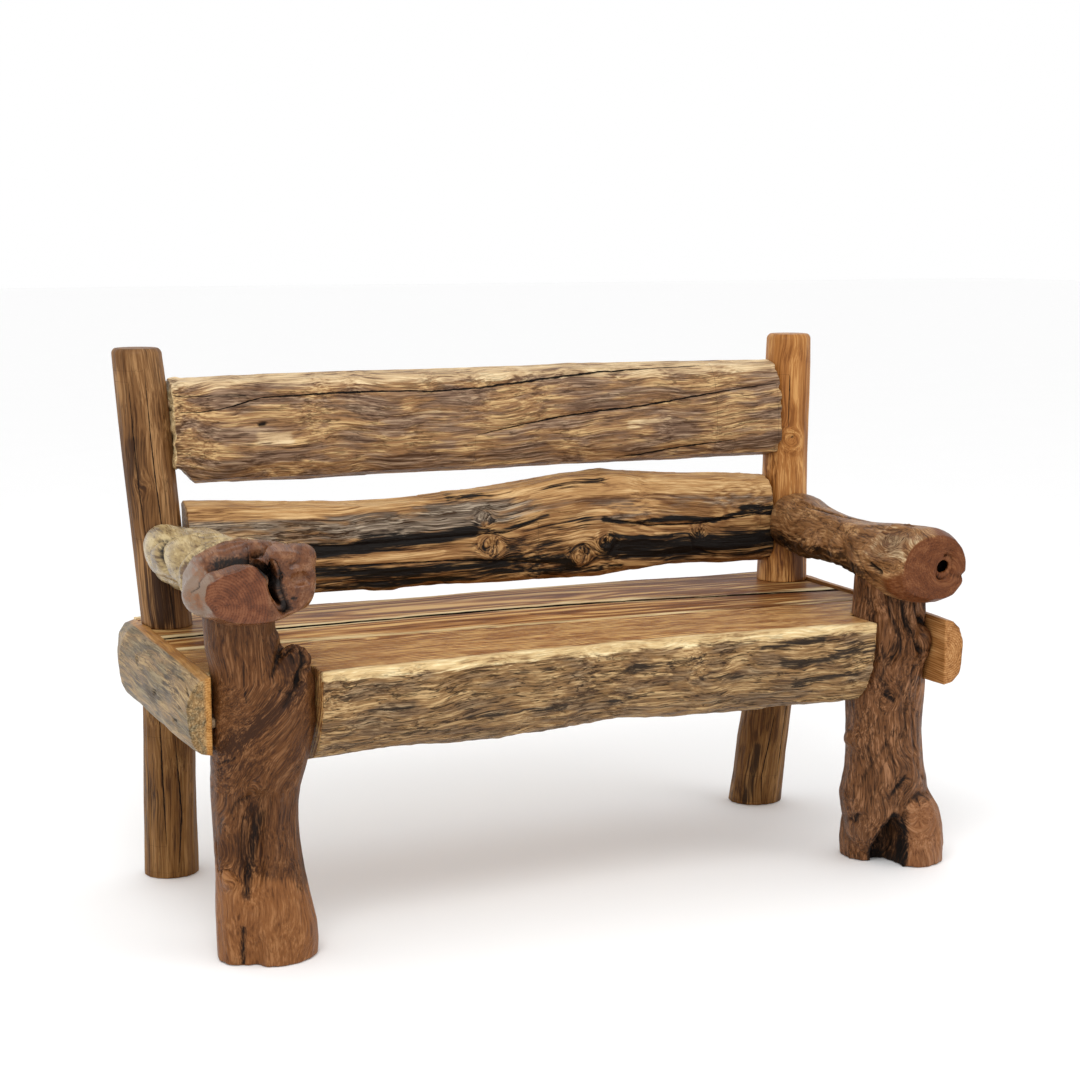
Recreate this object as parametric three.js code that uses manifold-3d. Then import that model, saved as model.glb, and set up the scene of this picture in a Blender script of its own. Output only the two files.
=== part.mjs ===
// A rustic two-seat garden bench: split logs and root wood, pegged and screwed together.
// Millimetres. Seen from the front, +X runs to the right, +Y to the rear and +Z up.
import * as THREE from 'three';
import { mergeVertices } from 'three/addons/utils/BufferGeometryUtils.js';
import Module from 'manifold-3d';

const wasm = await Module();
wasm.setup();

// ---------------------------------------------------------------- driving dimensions
const railSpan = 1262; // between the inner faces of the two side rails
const seatHeight = 450; // floor to the seat's sawn top
const seatFront = -250; // y of the seat's front edge
const seatDepth = 552; // front edge to rear edge
const plankThickness = 46; // middle and rear planks, and the slab's end tongues
const slabWidth = 220; // front slab, front edge to the joint behind it
const slabBelly = 153; // front slab's depth below the seat's top
const slabShoulder = 78; // slab's shoulder inside a front leg's foot axis
const slabCorner = 8; // slab's end is sawn back to this far behind the leg's axis
const jointSkew = 20; // how far the front joint runs back at the left end and forward at the right
const rearPlankWidth = 202; // rear plank at mid length
const boardGap = 5; // open joint between the middle and rear planks
const tightGap = 1.2; // joint between the front slab and the middle plank
const endGap = 2; // between the planks' ends and the side rails

const railHeight = { left: 128, right: 120 };
const railThickness = 44;
const railProud = 5; // side rails stand this much above the seat
const railFront = { left: 20, right: -34 }; // rail's front end behind the seat's front edge
const railRear = 12; // rail's rear end in front of the seat's rear edge

const postRadius = { left: 43, right: 43 };
const postFootSwell = { left: 0, right: 5 }; // extra radius at the seat
const postInset = 37; // post axis inside the side rail's inner face, at the seat
const postSetback = 96; // post axis in front of the seat's rear edge, at the seat
const postSplay = { left: 0.067, right: 0.062 }; // outward lean of the posts, mm per mm of height
const postLean = 0.082; // backward lean of the posts
const postTopEase = 1.5; // posts are this much slimmer at their very top
const tenonRadius = 20; // round tenons of the posts and the front legs
const tenonDepth = 60; // post tenon below the rear plank
const armTenonDepth = 40; // front leg's tenon in the arm
const armCope = 22; // how far an arm's rear end is hollowed round its post

const rearLegRadius = { left: 46, right: 48 };
const rearLegKick = 69; // foot behind the head
const rearLegToe = 12; // foot inside the head
const rearLegFlare = { left: 1.04, right: 1.12 }; // foot's width, as a share of the leg's

const lowerSlabLift = 36; // seat to the underside of the lower back slab
const lowerSlabHeight = 168;
const backGap = 32; // between the two back slabs
const upperSlabHeight = 182;
const postOverhang = 47; // post above the upper slab
const backSlabFront = 46; // back slabs' front bulge ahead of the posts' axes
const backSlabRear = 14; // sawn rear face behind the posts' axes
const backSlabEnd = { // slabs' sawn ends inside the posts' axes
  upper: { left: 40, right: 37 },
  lower: { left: 44, right: 42 },
};

const cornerSize = 34; // the slanted cut at the upper slab's lower left corner

const bearerWidth = 50;
const bearerHeight = 48;
const bearerInset = 41; // side bearer's middle inside the rail's inner face
const housingDepth = 20; // how far a bearer's end is let into a leg or the front slab
const bearerFront = 48; // side bearer's front end behind the front leg's axis
const bearerRear = 20; // centre bearer's rear end in front of the seat's rear edge

const dowelRadius = 8;
const dowelLength = 80;
const dowelShift = 12; // back slabs' dowels lie this much more in the slab than in the post
const screwRadius = 3;
const screwHeadRadius = 6;
const screwHeadDepth = 4;
const screwBite = 32; // screw's length in the plank
const screwSunk = 2; // screw's head below the bearer's underside
const screwPoint = 6; // length of its tapered tip
const slabScrewSetback = 60; // how far behind a front leg's axis the slab's wood for a screw starts
const rearScrewInset = 28; // rear plank's side screws behind its front edge
const railDowelReach = 22; // how far a rail's pegs go into the rail
const pegSpacing = 4; // wood left between a peg and a tenon
const fitGap = 0.3; // clearance where one piece touches or enters another

// ---------------------------------------------------------------- what follows from them
const halfSpan = railSpan / 2;
const seatRear = seatFront + seatDepth;
const postY = seatRear - postSetback;
const plankUnder = seatHeight - plankThickness;
const lowerSlabBase = seatHeight + lowerSlabLift;
const upperSlabBase = lowerSlabBase + lowerSlabHeight + backGap;
const postTop = upperSlabBase + upperSlabHeight + postOverhang;
const postHeight = postTop - seatHeight;
const handed = { left: -1, right: 1 };

// ---------------------------------------------------------------- solids and meshes
function solid(geometry) {
  const bare = geometry.clone();
  bare.deleteAttribute('normal');
  bare.deleteAttribute('uv');
  const merged = mergeVertices(bare, 1e-4);
  return new wasm.Manifold(new wasm.Mesh({
    numProp: 3,
    vertProperties: new Float32Array(merged.attributes.position.array),
    triVerts: new Uint32Array(merged.index.array),
  }));
}

function geometryOf(body) {
  const { vertProperties, triVerts } = body.getMesh();
  const geometry = new THREE.BufferGeometry();
  geometry.setAttribute('position', new THREE.BufferAttribute(vertProperties, 3));
  geometry.setIndex(new THREE.BufferAttribute(triVerts, 1));
  return geometry;
}

const cutAll = (body, cutters) => cutters.reduce((rest, cutter) => rest.subtract(cutter), body);

function block(x0, x1, y0, y1, z0, z1) {
  const box = new THREE.BoxGeometry(x1 - x0, y1 - y0, z1 - z0);
  return solid(box.translate((x0 + x1) / 2, (y0 + y1) / 2, (z0 + z1) / 2));
}

// Axes that a log's own x, y and z (its length) are laid along.
const alongX = new THREE.Vector3(1, 0, 0);
const alongY = new THREE.Vector3(0, 1, 0);
const alongZ = new THREE.Vector3(0, 0, 1);
const upright = new THREE.Matrix4();
const forward = new THREE.Matrix4().makeBasis(alongX, alongZ, alongY.clone().negate());
const across = new THREE.Matrix4().makeBasis(alongY, alongZ, alongX);

// A peg from a centre point, lying along one of the directions above.
function peg(radius, length, laid, centre, segments = 10) {
  const cylinder = new THREE.CylinderGeometry(radius, radius, length, segments);
  cylinder.rotateX(Math.PI / 2);
  return solid(cylinder.applyMatrix4(laid).translate(...centre));
}

// Radius of a squared-off oval at an angle.
function oval(angle, halfX, halfY, squareness) {
  const x = Math.abs(Math.cos(angle) / halfX) ** squareness;
  const y = Math.abs(Math.sin(angle) / halfY) ** squareness;
  return (x + y) ** (-1 / squareness);
}

// Knots and hollows add to the radius round one place on the skin. at and along are shares of
// the log's length, turn and around are degrees, size is mm, negative for a hollow.
function knotted(knots, t, angle) {
  return knots.reduce((sum, { at, along, turn, around, size }) => {
    const away = angle - THREE.MathUtils.degToRad(turn);
    const wrapped = Math.atan2(Math.sin(away), Math.cos(away)) / THREE.MathUtils.degToRad(around);
    return sum + size * Math.exp(-(((t - at) / along) ** 2) - wrapped ** 2);
  }, 0);
}

// A natural log. Each station is [share of length, drift x, drift y, half width x, half width y].
function log({ length, stations, knots = [], squareness = 2, sides = 20, rings = 12 }, grow = 0) {
  const shares = stations.map(([share]) => share);
  const widths = stations.flatMap(([, ...values]) => values);
  const flow = new THREE.CubicInterpolant(shares, widths, 4);
  const geometry = new THREE.CylinderGeometry(1, 1, length, sides, rings);
  geometry.rotateX(Math.PI / 2);
  const place = geometry.attributes.position;
  for (let i = 0; i < place.count; i += 1) {
    const t = place.getZ(i) / length + 0.5;
    const angle = Math.atan2(place.getY(i), place.getX(i));
    const [driftX, driftY, halfX, halfY] = flow.evaluate(t);
    const skin = oval(angle, halfX, halfY, squareness) + knotted(knots, t, angle) + grow;
    place.setXY(i, driftX + place.getX(i) * skin, driftY + place.getY(i) * skin);
  }
  return geometry.translate(0, 0, length / 2);
}

// An egg-shaped hollow.
function hollow({ x, y, z, sizeX, sizeY, sizeZ }) {
  const egg = new THREE.SphereGeometry(1, 10, 8);
  return solid(egg.scale(sizeX, sizeY, sizeZ).translate(x, y, z));
}

// A curved cleft cut into a front face, narrow at both ends. Points are [x, z].
function cleft({ points, width, depth, y }) {
  const line = new THREE.SplineCurve(points.map(([x, z]) => new THREE.Vector2(x, z)));
  const steps = 10;
  const edge = [];
  const back = [];
  for (let i = 0; i <= steps; i += 1) {
    const share = i / steps;
    const at = line.getPoint(share);
    const along = line.getTangent(share);
    const half = (width / 2) * (0.25 + 0.75 * Math.sin(Math.PI * share ** 0.8));
    edge.push(new THREE.Vector2(at.x - along.y * half, at.y + along.x * half));
    back.unshift(new THREE.Vector2(at.x + along.y * half, at.y - along.x * half));
  }
  const slot = new THREE.ExtrudeGeometry(new THREE.Shape([...edge, ...back]), {
    depth,
    bevelEnabled: false,
  });
  return solid(slot.applyMatrix4(forward).translate(0, y + depth, 0));
}

// ---------------------------------------------------------------- rear legs and back posts
const postX = (side) => handed[side] * (halfSpan - postInset);

function rearLeg(side, grow = 0) {
  const radius = rearLegRadius[side];
  const footX = -handed[side] * rearLegToe;
  const spec = {
    length: plankUnder - fitGap,
    stations: [
      [0, footX, rearLegKick, radius * rearLegFlare[side], radius],
      [0.3, footX * 0.7, rearLegKick * 0.7, radius, radius],
      [1, 0, 0, radius * 0.97, radius * 0.97],
    ],
    knots: side === 'right' ? [{ at: 0.28, along: 0.06, turn: 180, around: 35, size: 9 }] : [],
    sides: 16,
    rings: 6,
  };
  return solid(log(spec, grow).translate(postX(side), postY, 0));
}

function backPost(side, grow = 0) {
  const radius = postRadius[side];
  const foot = radius + postFootSwell[side];
  const top = [handed[side] * postSplay[side] * postHeight, postLean * postHeight];
  const spec = {
    length: postHeight - fitGap,
    stations: [
      [0, 0, 0, foot, foot],
      [0.45, top[0] * 0.45, top[1] * 0.45, radius, radius * 0.98],
      [0.9, top[0] * 0.9, top[1] * 0.9, radius, radius],
      [1, top[0], top[1], radius - postTopEase, radius - postTopEase],
    ],
    sides: 16,
    rings: 8,
  };
  return solid(log(spec, grow).translate(postX(side), postY, seatHeight + fitGap));
}

function postTenon(side, grow = 0) {
  const reach = plankThickness + tenonDepth;
  const overlap = 30;
  const middle = seatHeight + (overlap - reach) / 2;
  return peg(tenonRadius + grow, reach + overlap + 2 * grow, upright, [postX(side), postY, middle], 12);
}

// ---------------------------------------------------------------- front legs, cut from root wood
const frontLegs = {
  left: {
    x: -(halfSpan - 85),
    y: seatFront + 44,
    rise: 90,
    stations: [
      [0, 0, 3, 79, 58],
      [0.08, 0, 2, 80, 61],
      [0.15, -4, 2, 76, 60],
      [0.25, -9, 4, 69, 58],
      [0.35, -13, 6, 66, 56],
      [0.48, -14, 6, 68, 58],
      [0.6, -5, 2, 76, 60],
      [0.73, 0, 0, 79, 62],
      [0.82, -14, 0, 64, 56],
      [0.89, -31, 2, 54, 52],
      [1, -35, 2, 54, 52],
    ],
    knots: [
      { at: 0.835, along: 0.057, turn: -10, around: 42, size: 34 },
      { at: 0.02, along: 0.12, turn: -128, around: 16, size: -22 },
      { at: 0, along: 0.14, turn: -152, around: 22, size: -9 },
      { at: 0.32, along: 0.15, turn: -112, around: 13, size: -12 },
    ],
    toes: [],
    hollows: [],
  },
  right: {
    x: halfSpan - 41,
    y: seatFront + 74,
    rise: 66,
    stations: [
      [0, 14, 40, 44, 30],
      [0.1, 12, 26, 70, 50],
      [0.25, 3, 8, 79, 61],
      [0.36, -4, 2, 70, 60],
      [0.48, -8, 0, 66, 60],
      [0.59, -8, 0, 70, 60],
      [0.76, -10, -6, 68, 64],
      [0.88, -4, -2, 64, 58],
      [1, -2, 2, 60, 54],
    ],
    knots: [
      { at: 0.77, along: 0.048, turn: -48, around: 30, size: 14 },
      { at: 0.45, along: 0.033, turn: -165, around: 24, size: 12 },
      { at: 0.24, along: 0.057, turn: 180, around: 30, size: 8 },
    ],
    toes: [
      { x: -18, y: 54, height: 150, halfX: 33, halfY: 46 },
      { x: 54, y: -12, height: 170, halfX: 54, halfY: 50 },
    ],
    hollows: [{ x: -6, y: -26, z: 30, sizeX: 24, sizeY: 60, sizeZ: 66 }],
  },
};
const legTop = (side) => seatHeight + frontLegs[side].rise;

function frontLeg(side, grow = 0) {
  const leg = frontLegs[side];
  const spec = { ...leg, length: legTop(side), squareness: 2.2, sides: 20, rings: 20 };
  let body = solid(log(spec, grow));
  leg.toes.forEach(({ x, y, height, halfX, halfY }) => {
    const toe = {
      length: height,
      stations: [
        [0, x, y, halfX * 0.94, halfY * 0.94],
        [0.2, x, y, halfX, halfY],
        [0.6, x * 0.85, y * 0.85, halfX * 0.92, halfY * 0.92],
        [1, x * 0.4, y * 0.4, halfX * 0.5, halfY * 0.5],
      ],
      sides: 12,
      rings: 5,
    };
    body = body.add(solid(log(toe, grow)));
  });
  return cutAll(body, leg.hollows.map(hollow)).translate([leg.x, leg.y, 0]);
}

// The tenon stands where the leg's top is, which has drifted from the foot.
function legTenon(side, grow = 0) {
  const leg = frontLegs[side];
  const [, driftX, driftY] = leg.stations.at(-1);
  const overlap = 30;
  const length = armTenonDepth + overlap + 2 * grow;
  const middle = legTop(side) + (armTenonDepth - overlap) / 2;
  return peg(tenonRadius + grow, length, upright, [leg.x + driftX, leg.y + driftY, middle], 12);
}

// ---------------------------------------------------------------- arms, gnarled logs
const arms = {
  left: {
    front: seatFront - 44,
    lift: 47, // arm's middle above the leg's top
    squareness: 2.5,
    stations: [
      [0, 34, -14, 56, 46],
      [0.1, 34, -14, 64, 50],
      [0.25, 26, -8, 62, 50],
      [0.42, 12, 0, 56, 48],
      [0.6, 4, 2, 62, 52],
      [0.75, 4, 4, 84, 58],
      [0.88, 5, 4, 93, 60],
      [0.96, 5, 4, 91, 59],
      [1, 5, 4, 84, 52],
    ],
    knots: [
      { at: 0.1, along: 0.08, turn: 140, around: 30, size: 12 },
      { at: 0.12, along: 0.06, turn: 92, around: 18, size: -10 },
      { at: 1, along: 0.2, turn: 140, around: 26, size: -14 },
      { at: 1, along: 0.22, turn: -38, around: 20, size: -5 },
      { at: 0.95, along: 0.15, turn: 38, around: 18, size: 7 },
    ],
    hollows: [],
    // from the top of the left lobe, over it and down beside it
    clefts: [{
      points: [[-108, 55], [-70, 58], [-34, 58], [-16, 44], [-3, 22], [-7, 3], [0, -14], [10, -30]],
      width: 15,
      depth: 80,
    }],
  },
  right: {
    front: seatFront - 46,
    lift: 34,
    squareness: 2.2,
    stations: [
      [0, 0, 16, 50, 50],
      [0.12, -2, 16, 54, 54],
      [0.32, -8, 10, 46, 46],
      [0.5, -10, 6, 44, 44],
      [0.64, -6, 2, 54, 50],
      [0.78, 0, -4, 70, 62],
      [0.92, 12, -6, 74, 64],
      [0.98, 16, -6, 70, 62],
      [1, 16, -6, 62, 55],
    ],
    knots: [
      { at: 0.2, along: 0.1, turn: 250, around: 30, size: 8 },
      { at: 0.62, along: 0.05, turn: 200, around: 30, size: -6 },
      { at: 0.95, along: 0.08, turn: 200, around: 30, size: 6 },
    ],
    hollows: [{ x: 26, z: -4, sizeX: 13, sizeY: 38, sizeZ: 11 }],
    clefts: [],
  },
};

// An arm runs from its post, where its share of length is 0, to its sawn front end.
function armLog(side) {
  const arm = arms[side];
  const leg = frontLegs[side];
  const middle = legTop(side) + arm.lift;
  const meet = backPostAxis(side, middle);
  const rear = meet[1] - postRadius[side] + armCope;
  const length = rear - arm.front;
  const slope = (meet[0] - leg.x - leg.stations.at(-1)[1]) / (postY - leg.y);
  const stations = arm.stations.map(([share, x, z, halfX, halfZ]) => {
    const y = rear - share * length;
    const line = meet[0] - slope * (postY - y);
    return [share, line + x, middle + z, halfX, halfZ];
  });
  const spec = { ...arm, length, stations, sides: 18, rings: 16 };
  const body = solid(log(spec).applyMatrix4(forward).translate(0, rear, 0));
  const y = arm.front;
  const openings = [
    ...arm.hollows.map((egg) => hollow({ ...egg, y }).translate([leg.x, 0, middle])),
    ...arm.clefts.map((slot) => cleft({ ...slot, y: y - 1 }).translate([leg.x, 0, middle])),
  ];
  return cutAll(body, openings);
}

function backPostAxis(side, height) {
  const above = height - seatHeight;
  return [postX(side) + handed[side] * postSplay[side] * above, postY + postLean * above];
}

// ---------------------------------------------------------------- side rails, split poles
function sideRail(side, grow = 0) {
  const y0 = seatFront + railFront[side] - grow;
  const y1 = seatRear - railRear + grow;
  const z = seatHeight + railProud - railHeight[side] / 2;
  const bulge = railThickness;
  const half = railHeight[side] / 2;
  const spec = {
    length: y1 - y0,
    squareness: 2.6,
    stations: [
      [0, 0, 2, bulge * 0.7, half * 0.88],
      [0.06, 0, 0, bulge * 0.95, half * 0.98],
      [0.4, 0, 0, bulge, half],
      [0.9, 0, 0, bulge * 0.9, half * 0.97],
      [1, 0, 0, bulge * 0.82, half * 0.94],
    ],
    sides: 20,
    rings: 6,
  };
  const pole = solid(log(spec, grow).applyMatrix4(forward).translate(handed[side] * halfSpan, y1, z));
  const inner = halfSpan - grow;
  const outer = halfSpan + 2 * bulge;
  const limits = [y0 - 1, y1 + 1, z - 2 * half, z + 2 * half];
  const outside = side === 'left' ? block(-outer, -inner, ...limits) : block(inner, outer, ...limits);
  return pole.intersect(outside);
}

// ---------------------------------------------------------------- seat
const plankEnd = halfSpan - endGap;
const frontJoint = (x) => seatFront + slabWidth - (jointSkew * x) / halfSpan;
const rearJointKeys = [
  [-1, -6],
  [-0.6, 8],
  [0.2, 14],
  [1, -44],
];

function rearJoint(x) {
  const shares = rearJointKeys.map(([share]) => share);
  const offsets = rearJointKeys.map(([, offset]) => offset);
  const line = new THREE.CubicInterpolant(shares, offsets, 1);
  return seatRear - rearPlankWidth + line.evaluate(x / halfSpan)[0];
}

// A plank between two edge lines, sawn flat on both faces.
function plank(frontEdge, rearEdge, steps) {
  const outline = [];
  for (let i = 0; i <= steps; i += 1) {
    const x = -plankEnd + (2 * plankEnd * i) / steps;
    outline.push(new THREE.Vector2(x, frontEdge(x)));
  }
  for (let i = steps; i >= 0; i -= 1) {
    const x = -plankEnd + (2 * plankEnd * i) / steps;
    outline.push(new THREE.Vector2(x, rearEdge(x)));
  }
  const board = new THREE.ExtrudeGeometry(new THREE.Shape(outline), {
    depth: plankThickness,
    bevelEnabled: false,
  });
  return solid(board.translate(0, 0, plankUnder));
}

const liveEdge = (x) => seatRear + 5 * Math.sin(x / 118) + 3 * Math.sin(x / 47 + 1);

// The front slab: a split log with a sawn top, its front face left as it grew.
function frontSlab() {
  const half = slabBelly * 0.94;
  const middleY = seatFront + slabWidth * 0.56;
  const middleZ = seatHeight - slabBelly + half;
  const reach = middleY - seatFront;
  const spec = {
    length: 2 * plankEnd,
    squareness: 2.7,
    stations: [
      [0, 0, 0, reach + 12, half + 5],
      [0.13, 0, 0, reach + 12, half + 5],
      [0.22, 0, 0, reach + 4, half],
      [0.38, 0, 0, reach - 9, half + 3],
      [0.48, 0, 0, reach - 14, half],
      [0.555, 0, 0, reach - 15, half - 8],
      [0.62, 0, 0, reach - 15, half],
      [0.78, 0, 0, reach - 6, half],
      [0.9, 0, 0, reach + 6, half + 1],
      [1, 0, 0, reach + 6, half],
    ],
    sides: 24,
    rings: 18,
  };
  const trunk = solid(log(spec).applyMatrix4(across).translate(-plankEnd, middleY, middleZ));
  const steps = 2;
  const footprint = [];
  for (let i = 0; i <= steps; i += 1) {
    const x = -plankEnd + (2 * plankEnd * i) / steps;
    footprint.push(new THREE.Vector2(x, frontJoint(x) - tightGap));
  }
  footprint.push(new THREE.Vector2(plankEnd, seatFront - slabWidth));
  footprint.push(new THREE.Vector2(-plankEnd, seatFront - slabWidth));
  const sawn = new THREE.ExtrudeGeometry(new THREE.Shape(footprint.reverse()), {
    depth: 2 * slabBelly,
    bevelEnabled: false,
  });
  return trunk.intersect(solid(sawn.translate(0, 0, seatHeight - 2 * slabBelly)));
}

// What is sawn off each end of the slab: the front corner beside the leg, and the belly
// under the tongue that runs behind the leg to the rail.
function slabEndCuts(side) {
  const leg = frontLegs[side];
  const inner = Math.abs(leg.x) - slabShoulder;
  const outer = halfSpan + 1;
  const corner = [seatFront - slabWidth, leg.y + slabCorner, seatHeight - 2 * slabBelly, seatHeight + 1];
  const belly = [seatFront - slabWidth, seatFront + 2 * slabWidth, seatHeight - 2 * slabBelly, plankUnder];
  return [corner, belly].map((limits) => (
    side === 'left' ? block(-outer, -inner, ...limits) : block(inner, outer, ...limits)
  ));
}

// ---------------------------------------------------------------- bearers
const bearerX = { left: -(halfSpan - bearerInset), centre: 0, right: halfSpan - bearerInset };

function bearer(name, grow = 0) {
  const x = bearerX[name];
  const half = bearerWidth / 2 + grow;
  const ends = name === 'centre'
    ? [frontJoint(0) - housingDepth, seatRear - bearerRear]
    : [frontLegs[name].y + bearerFront, postY - rearLegRadius[name] + housingDepth];
  const top = plankUnder - fitGap;
  return block(x - half, x + half, ends[0] - grow, ends[1] + grow, top - bearerHeight - grow, top + grow);
}

// ---------------------------------------------------------------- back slabs
function backSlab(base, height, stations, squareness, grow = 0) {
  const length = railSpan;
  const spec = { length, stations, squareness, sides: 20, rings: 18 };
  const trunk = solid(log(spec, grow).applyMatrix4(across).translate(-length / 2, 0, base + height / 2));
  const front = block(-length, length, -2 * backSlabFront, backSlabRear, base - height, base + 2 * height);
  const lean = new THREE.Matrix4().makeShear(0, 0, 0, 0, 0, postLean);
  const leaning = geometryOf(trunk.intersect(front)).applyMatrix4(lean);
  return solid(leaning.translate(0, postY - postLean * seatHeight, 0));
}

function upperSlab() {
  const half = upperSlabHeight / 2;
  const front = backSlabFront;
  return backSlab(upperSlabBase, upperSlabHeight, [
    [0, 0, -3, front, half - 3],
    [0.2, 0, -1, front + 2, half],
    [0.45, 0, 0, front, half],
    [0.7, 0, 2, front + 3, half],
    [1, 0, 0, front, half - 1],
  ], 2.5);
}

function lowerSlab(grow = 0) {
  const half = lowerSlabHeight / 2;
  const front = backSlabFront;
  return backSlab(lowerSlabBase, lowerSlabHeight, [
    [0, 0, 2, front - 6, half + 6],
    [0.12, 0, 0, front - 4, half + 1],
    [0.3, 0, -6, front - 2, half - 5],
    [0.42, 0, -4, front - 4, half - 2],
    [0.52, 0, 2, front, half + 4],
    [0.65, 0, 8, front + 4, half + 14],
    [0.78, 0, 9, front - 2, half + 2],
    [0.9, 0, 2, front - 4, half - 1],
    [1, 0, -4, front - 6, half - 4],
  ], 2.4, grow);
}

// ---------------------------------------------------------------- pegs and screws
const backDowels = [
  ['upper', 0.26],
  ['upper', 0.74],
  ['lower', 0.28],
  ['lower', 0.72],
];

function backDowel(side, [slab, share], grow = 0) {
  const [base, height] = slab === 'upper'
    ? [upperSlabBase, upperSlabHeight]
    : [lowerSlabBase, lowerSlabHeight];
  const z = base + share * height;
  const [x, y] = backPostAxis(side, z);
  const centre = [x - handed[side] * (postRadius[side] + dowelShift), y - 6, z];
  return peg(dowelRadius + grow, dowelLength + 2 * grow, across, centre);
}

function armDowel(side, grow = 0) {
  const z = legTop(side) + arms[side].lift - 6;
  const [x, y] = backPostAxis(side, z);
  const centre = [x, y - postRadius[side], z];
  return peg(dowelRadius + grow, dowelLength + 2 * grow, forward, centre);
}

function slabDowel(side, grow = 0) {
  const leg = frontLegs[side];
  const x = leg.x - handed[side] * slabShoulder;
  return peg(dowelRadius + grow, dowelLength + 2 * grow, across, [x, leg.y - 4, seatHeight - slabBelly / 2]);
}

function railDowel(side, end, grow = 0) {
  const y = end === 'front' ? frontLegs[side].y : postY + tenonRadius + dowelRadius + pegSpacing;
  const x = handed[side] * (halfSpan + railDowelReach - dowelLength / 2);
  const z = seatHeight + railProud - railHeight[side] * 0.62;
  return peg(dowelRadius + grow, dowelLength + 2 * grow, across, [x, y, z]);
}

function screwPlace(bearerName, board) {
  const x = bearerX[bearerName];
  const y = {
    slab: (frontJoint(x) + frontLegs.left.y + slabScrewSetback) / 2,
    middle: (frontJoint(x) + rearJoint(x)) / 2,
    rear: bearerName === 'centre' ? seatRear - rearPlankWidth / 2 : rearJoint(x) + rearScrewInset,
  }[board];
  return [x, y, plankUnder - bearerHeight];
}

const seatScrews = [
  ['left', 'slab'],
  ['left', 'middle'],
  ['left', 'rear'],
  ['centre', 'middle'],
  ['centre', 'rear'],
  ['right', 'slab'],
  ['right', 'middle'],
  ['right', 'rear'],
];

function seatScrew([bearerName, board], grow = 0) {
  const length = bearerHeight + screwBite;
  const profile = [
    new THREE.Vector2(0, screwSunk - grow),
    new THREE.Vector2(screwHeadRadius + grow, screwSunk - grow),
    new THREE.Vector2(screwHeadRadius + grow, screwSunk + grow),
    new THREE.Vector2(screwRadius + grow, screwSunk + screwHeadDepth + grow),
    new THREE.Vector2(screwRadius + grow, length + grow - screwPoint),
    new THREE.Vector2(0, length + grow),
  ];
  const turned = new THREE.LatheGeometry(profile, 8).rotateX(Math.PI / 2);
  return solid(turned.translate(...screwPlace(bearerName, board)));
}

// The hole for a screw also runs out through the bearer's underside.
function screwHole(screw) {
  const [x, y, z] = screwPlace(...screw);
  return seatScrew(screw, fitGap).add(peg(screwHeadRadius + fitGap, 6, upright, [x, y, z], 8));
}

// ---------------------------------------------------------------- the joints between them
const bothSides = ['left', 'right'];
const railEnds = ['front', 'rear'];

function finishedRearLeg(side) {
  return cutAll(rearLeg(side), [
    postTenon(side, fitGap),
    bearer(side, fitGap),
    sideRail(side, fitGap),
    railDowel(side, 'rear', fitGap),
  ]);
}

function finishedPost(side) {
  return cutAll(backPost(side).add(postTenon(side)), [
    ...backDowels.map((dowel) => backDowel(side, dowel, fitGap)),
    armDowel(side, fitGap),
    sideRail(side, fitGap),
  ]);
}

function finishedFrontLeg(side) {
  return cutAll(frontLeg(side).add(legTenon(side)), [
    bearer(side, fitGap),
    sideRail(side, fitGap),
    railDowel(side, 'front', fitGap),
    slabDowel(side, fitGap),
  ]);
}

function finishedArm(side) {
  const room = armLog(side).subtract(frontLeg(side, fitGap).translate([0, 0, fitGap]));
  const behind = [backPost(side, fitGap), lowerSlab(fitGap)];
  return cutAll(room, [legTenon(side, fitGap), armDowel(side, fitGap), ...behind]);
}

const finishedRail = (side) => cutAll(sideRail(side), railEnds.map((end) => railDowel(side, end, fitGap)));

// The upper slab's lower left corner is sawn off at a slant.
function cornerCut() {
  const z = upperSlabBase;
  const x = backPostAxis('left', z)[0] + backSlabEnd.upper.left;
  const size = cornerSize * Math.SQRT2;
  const box = new THREE.BoxGeometry(size, 4 * backSlabFront, size).rotateY(Math.PI / 4);
  return solid(box.translate(x, postY, z));
}

function finishedBackSlab(slab) {
  const body = slab === 'upper' ? upperSlab().subtract(cornerCut()) : lowerSlab();
  const dowels = backDowels.filter(([name]) => name === slab);
  return cutAll(body, bothSides.flatMap((side) => [
    backPost(side, fitGap),
    backSlabOffcut(side, slab),
    ...dowels.map((dowel) => backDowel(side, dowel, fitGap)),
  ]));
}

// What is sawn off a back slab's end, to follow the post.
function backSlabOffcut(side, slab) {
  const z = (slab === 'upper' ? upperSlabBase + upperSlabHeight / 2 : lowerSlabBase + lowerSlabHeight / 2);
  const inner = Math.abs(backPostAxis(side, z)[0]) - backSlabEnd[slab][side];
  const limits = [-seatDepth, 2 * seatDepth, seatHeight, 2 * postTop];
  return side === 'left' ? block(-2 * railSpan, -inner, ...limits) : block(inner, 2 * railSpan, ...limits);
}

function finishedSlab() {
  return cutAll(frontSlab(), [
    ...bothSides.flatMap((side) => [
      ...slabEndCuts(side),
      frontLeg(side, fitGap),
      slabDowel(side, fitGap),
    ]),
    bearer('centre', fitGap),
    ...seatScrews.filter(([, board]) => board === 'slab').map(screwHole),
  ]);
}

function finishedPlank(board) {
  const body = board === 'middle'
    ? plank((x) => frontJoint(x), (x) => rearJoint(x) - boardGap, 8)
    : plank(rearJoint, liveEdge, 16);
  const holes = seatScrews.filter(([, name]) => name === board).map(screwHole);
  return cutAll(body, [...bothSides.map((side) => postTenon(side, fitGap)), ...holes]);
}

function finishedBearer(name) {
  const holes = seatScrews.filter(([bearerName]) => bearerName === name).map(screwHole);
  const posts = name === 'centre' ? [] : [postTenon(name, fitGap)];
  return cutAll(bearer(name), [...holes, ...posts]);
}

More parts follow.
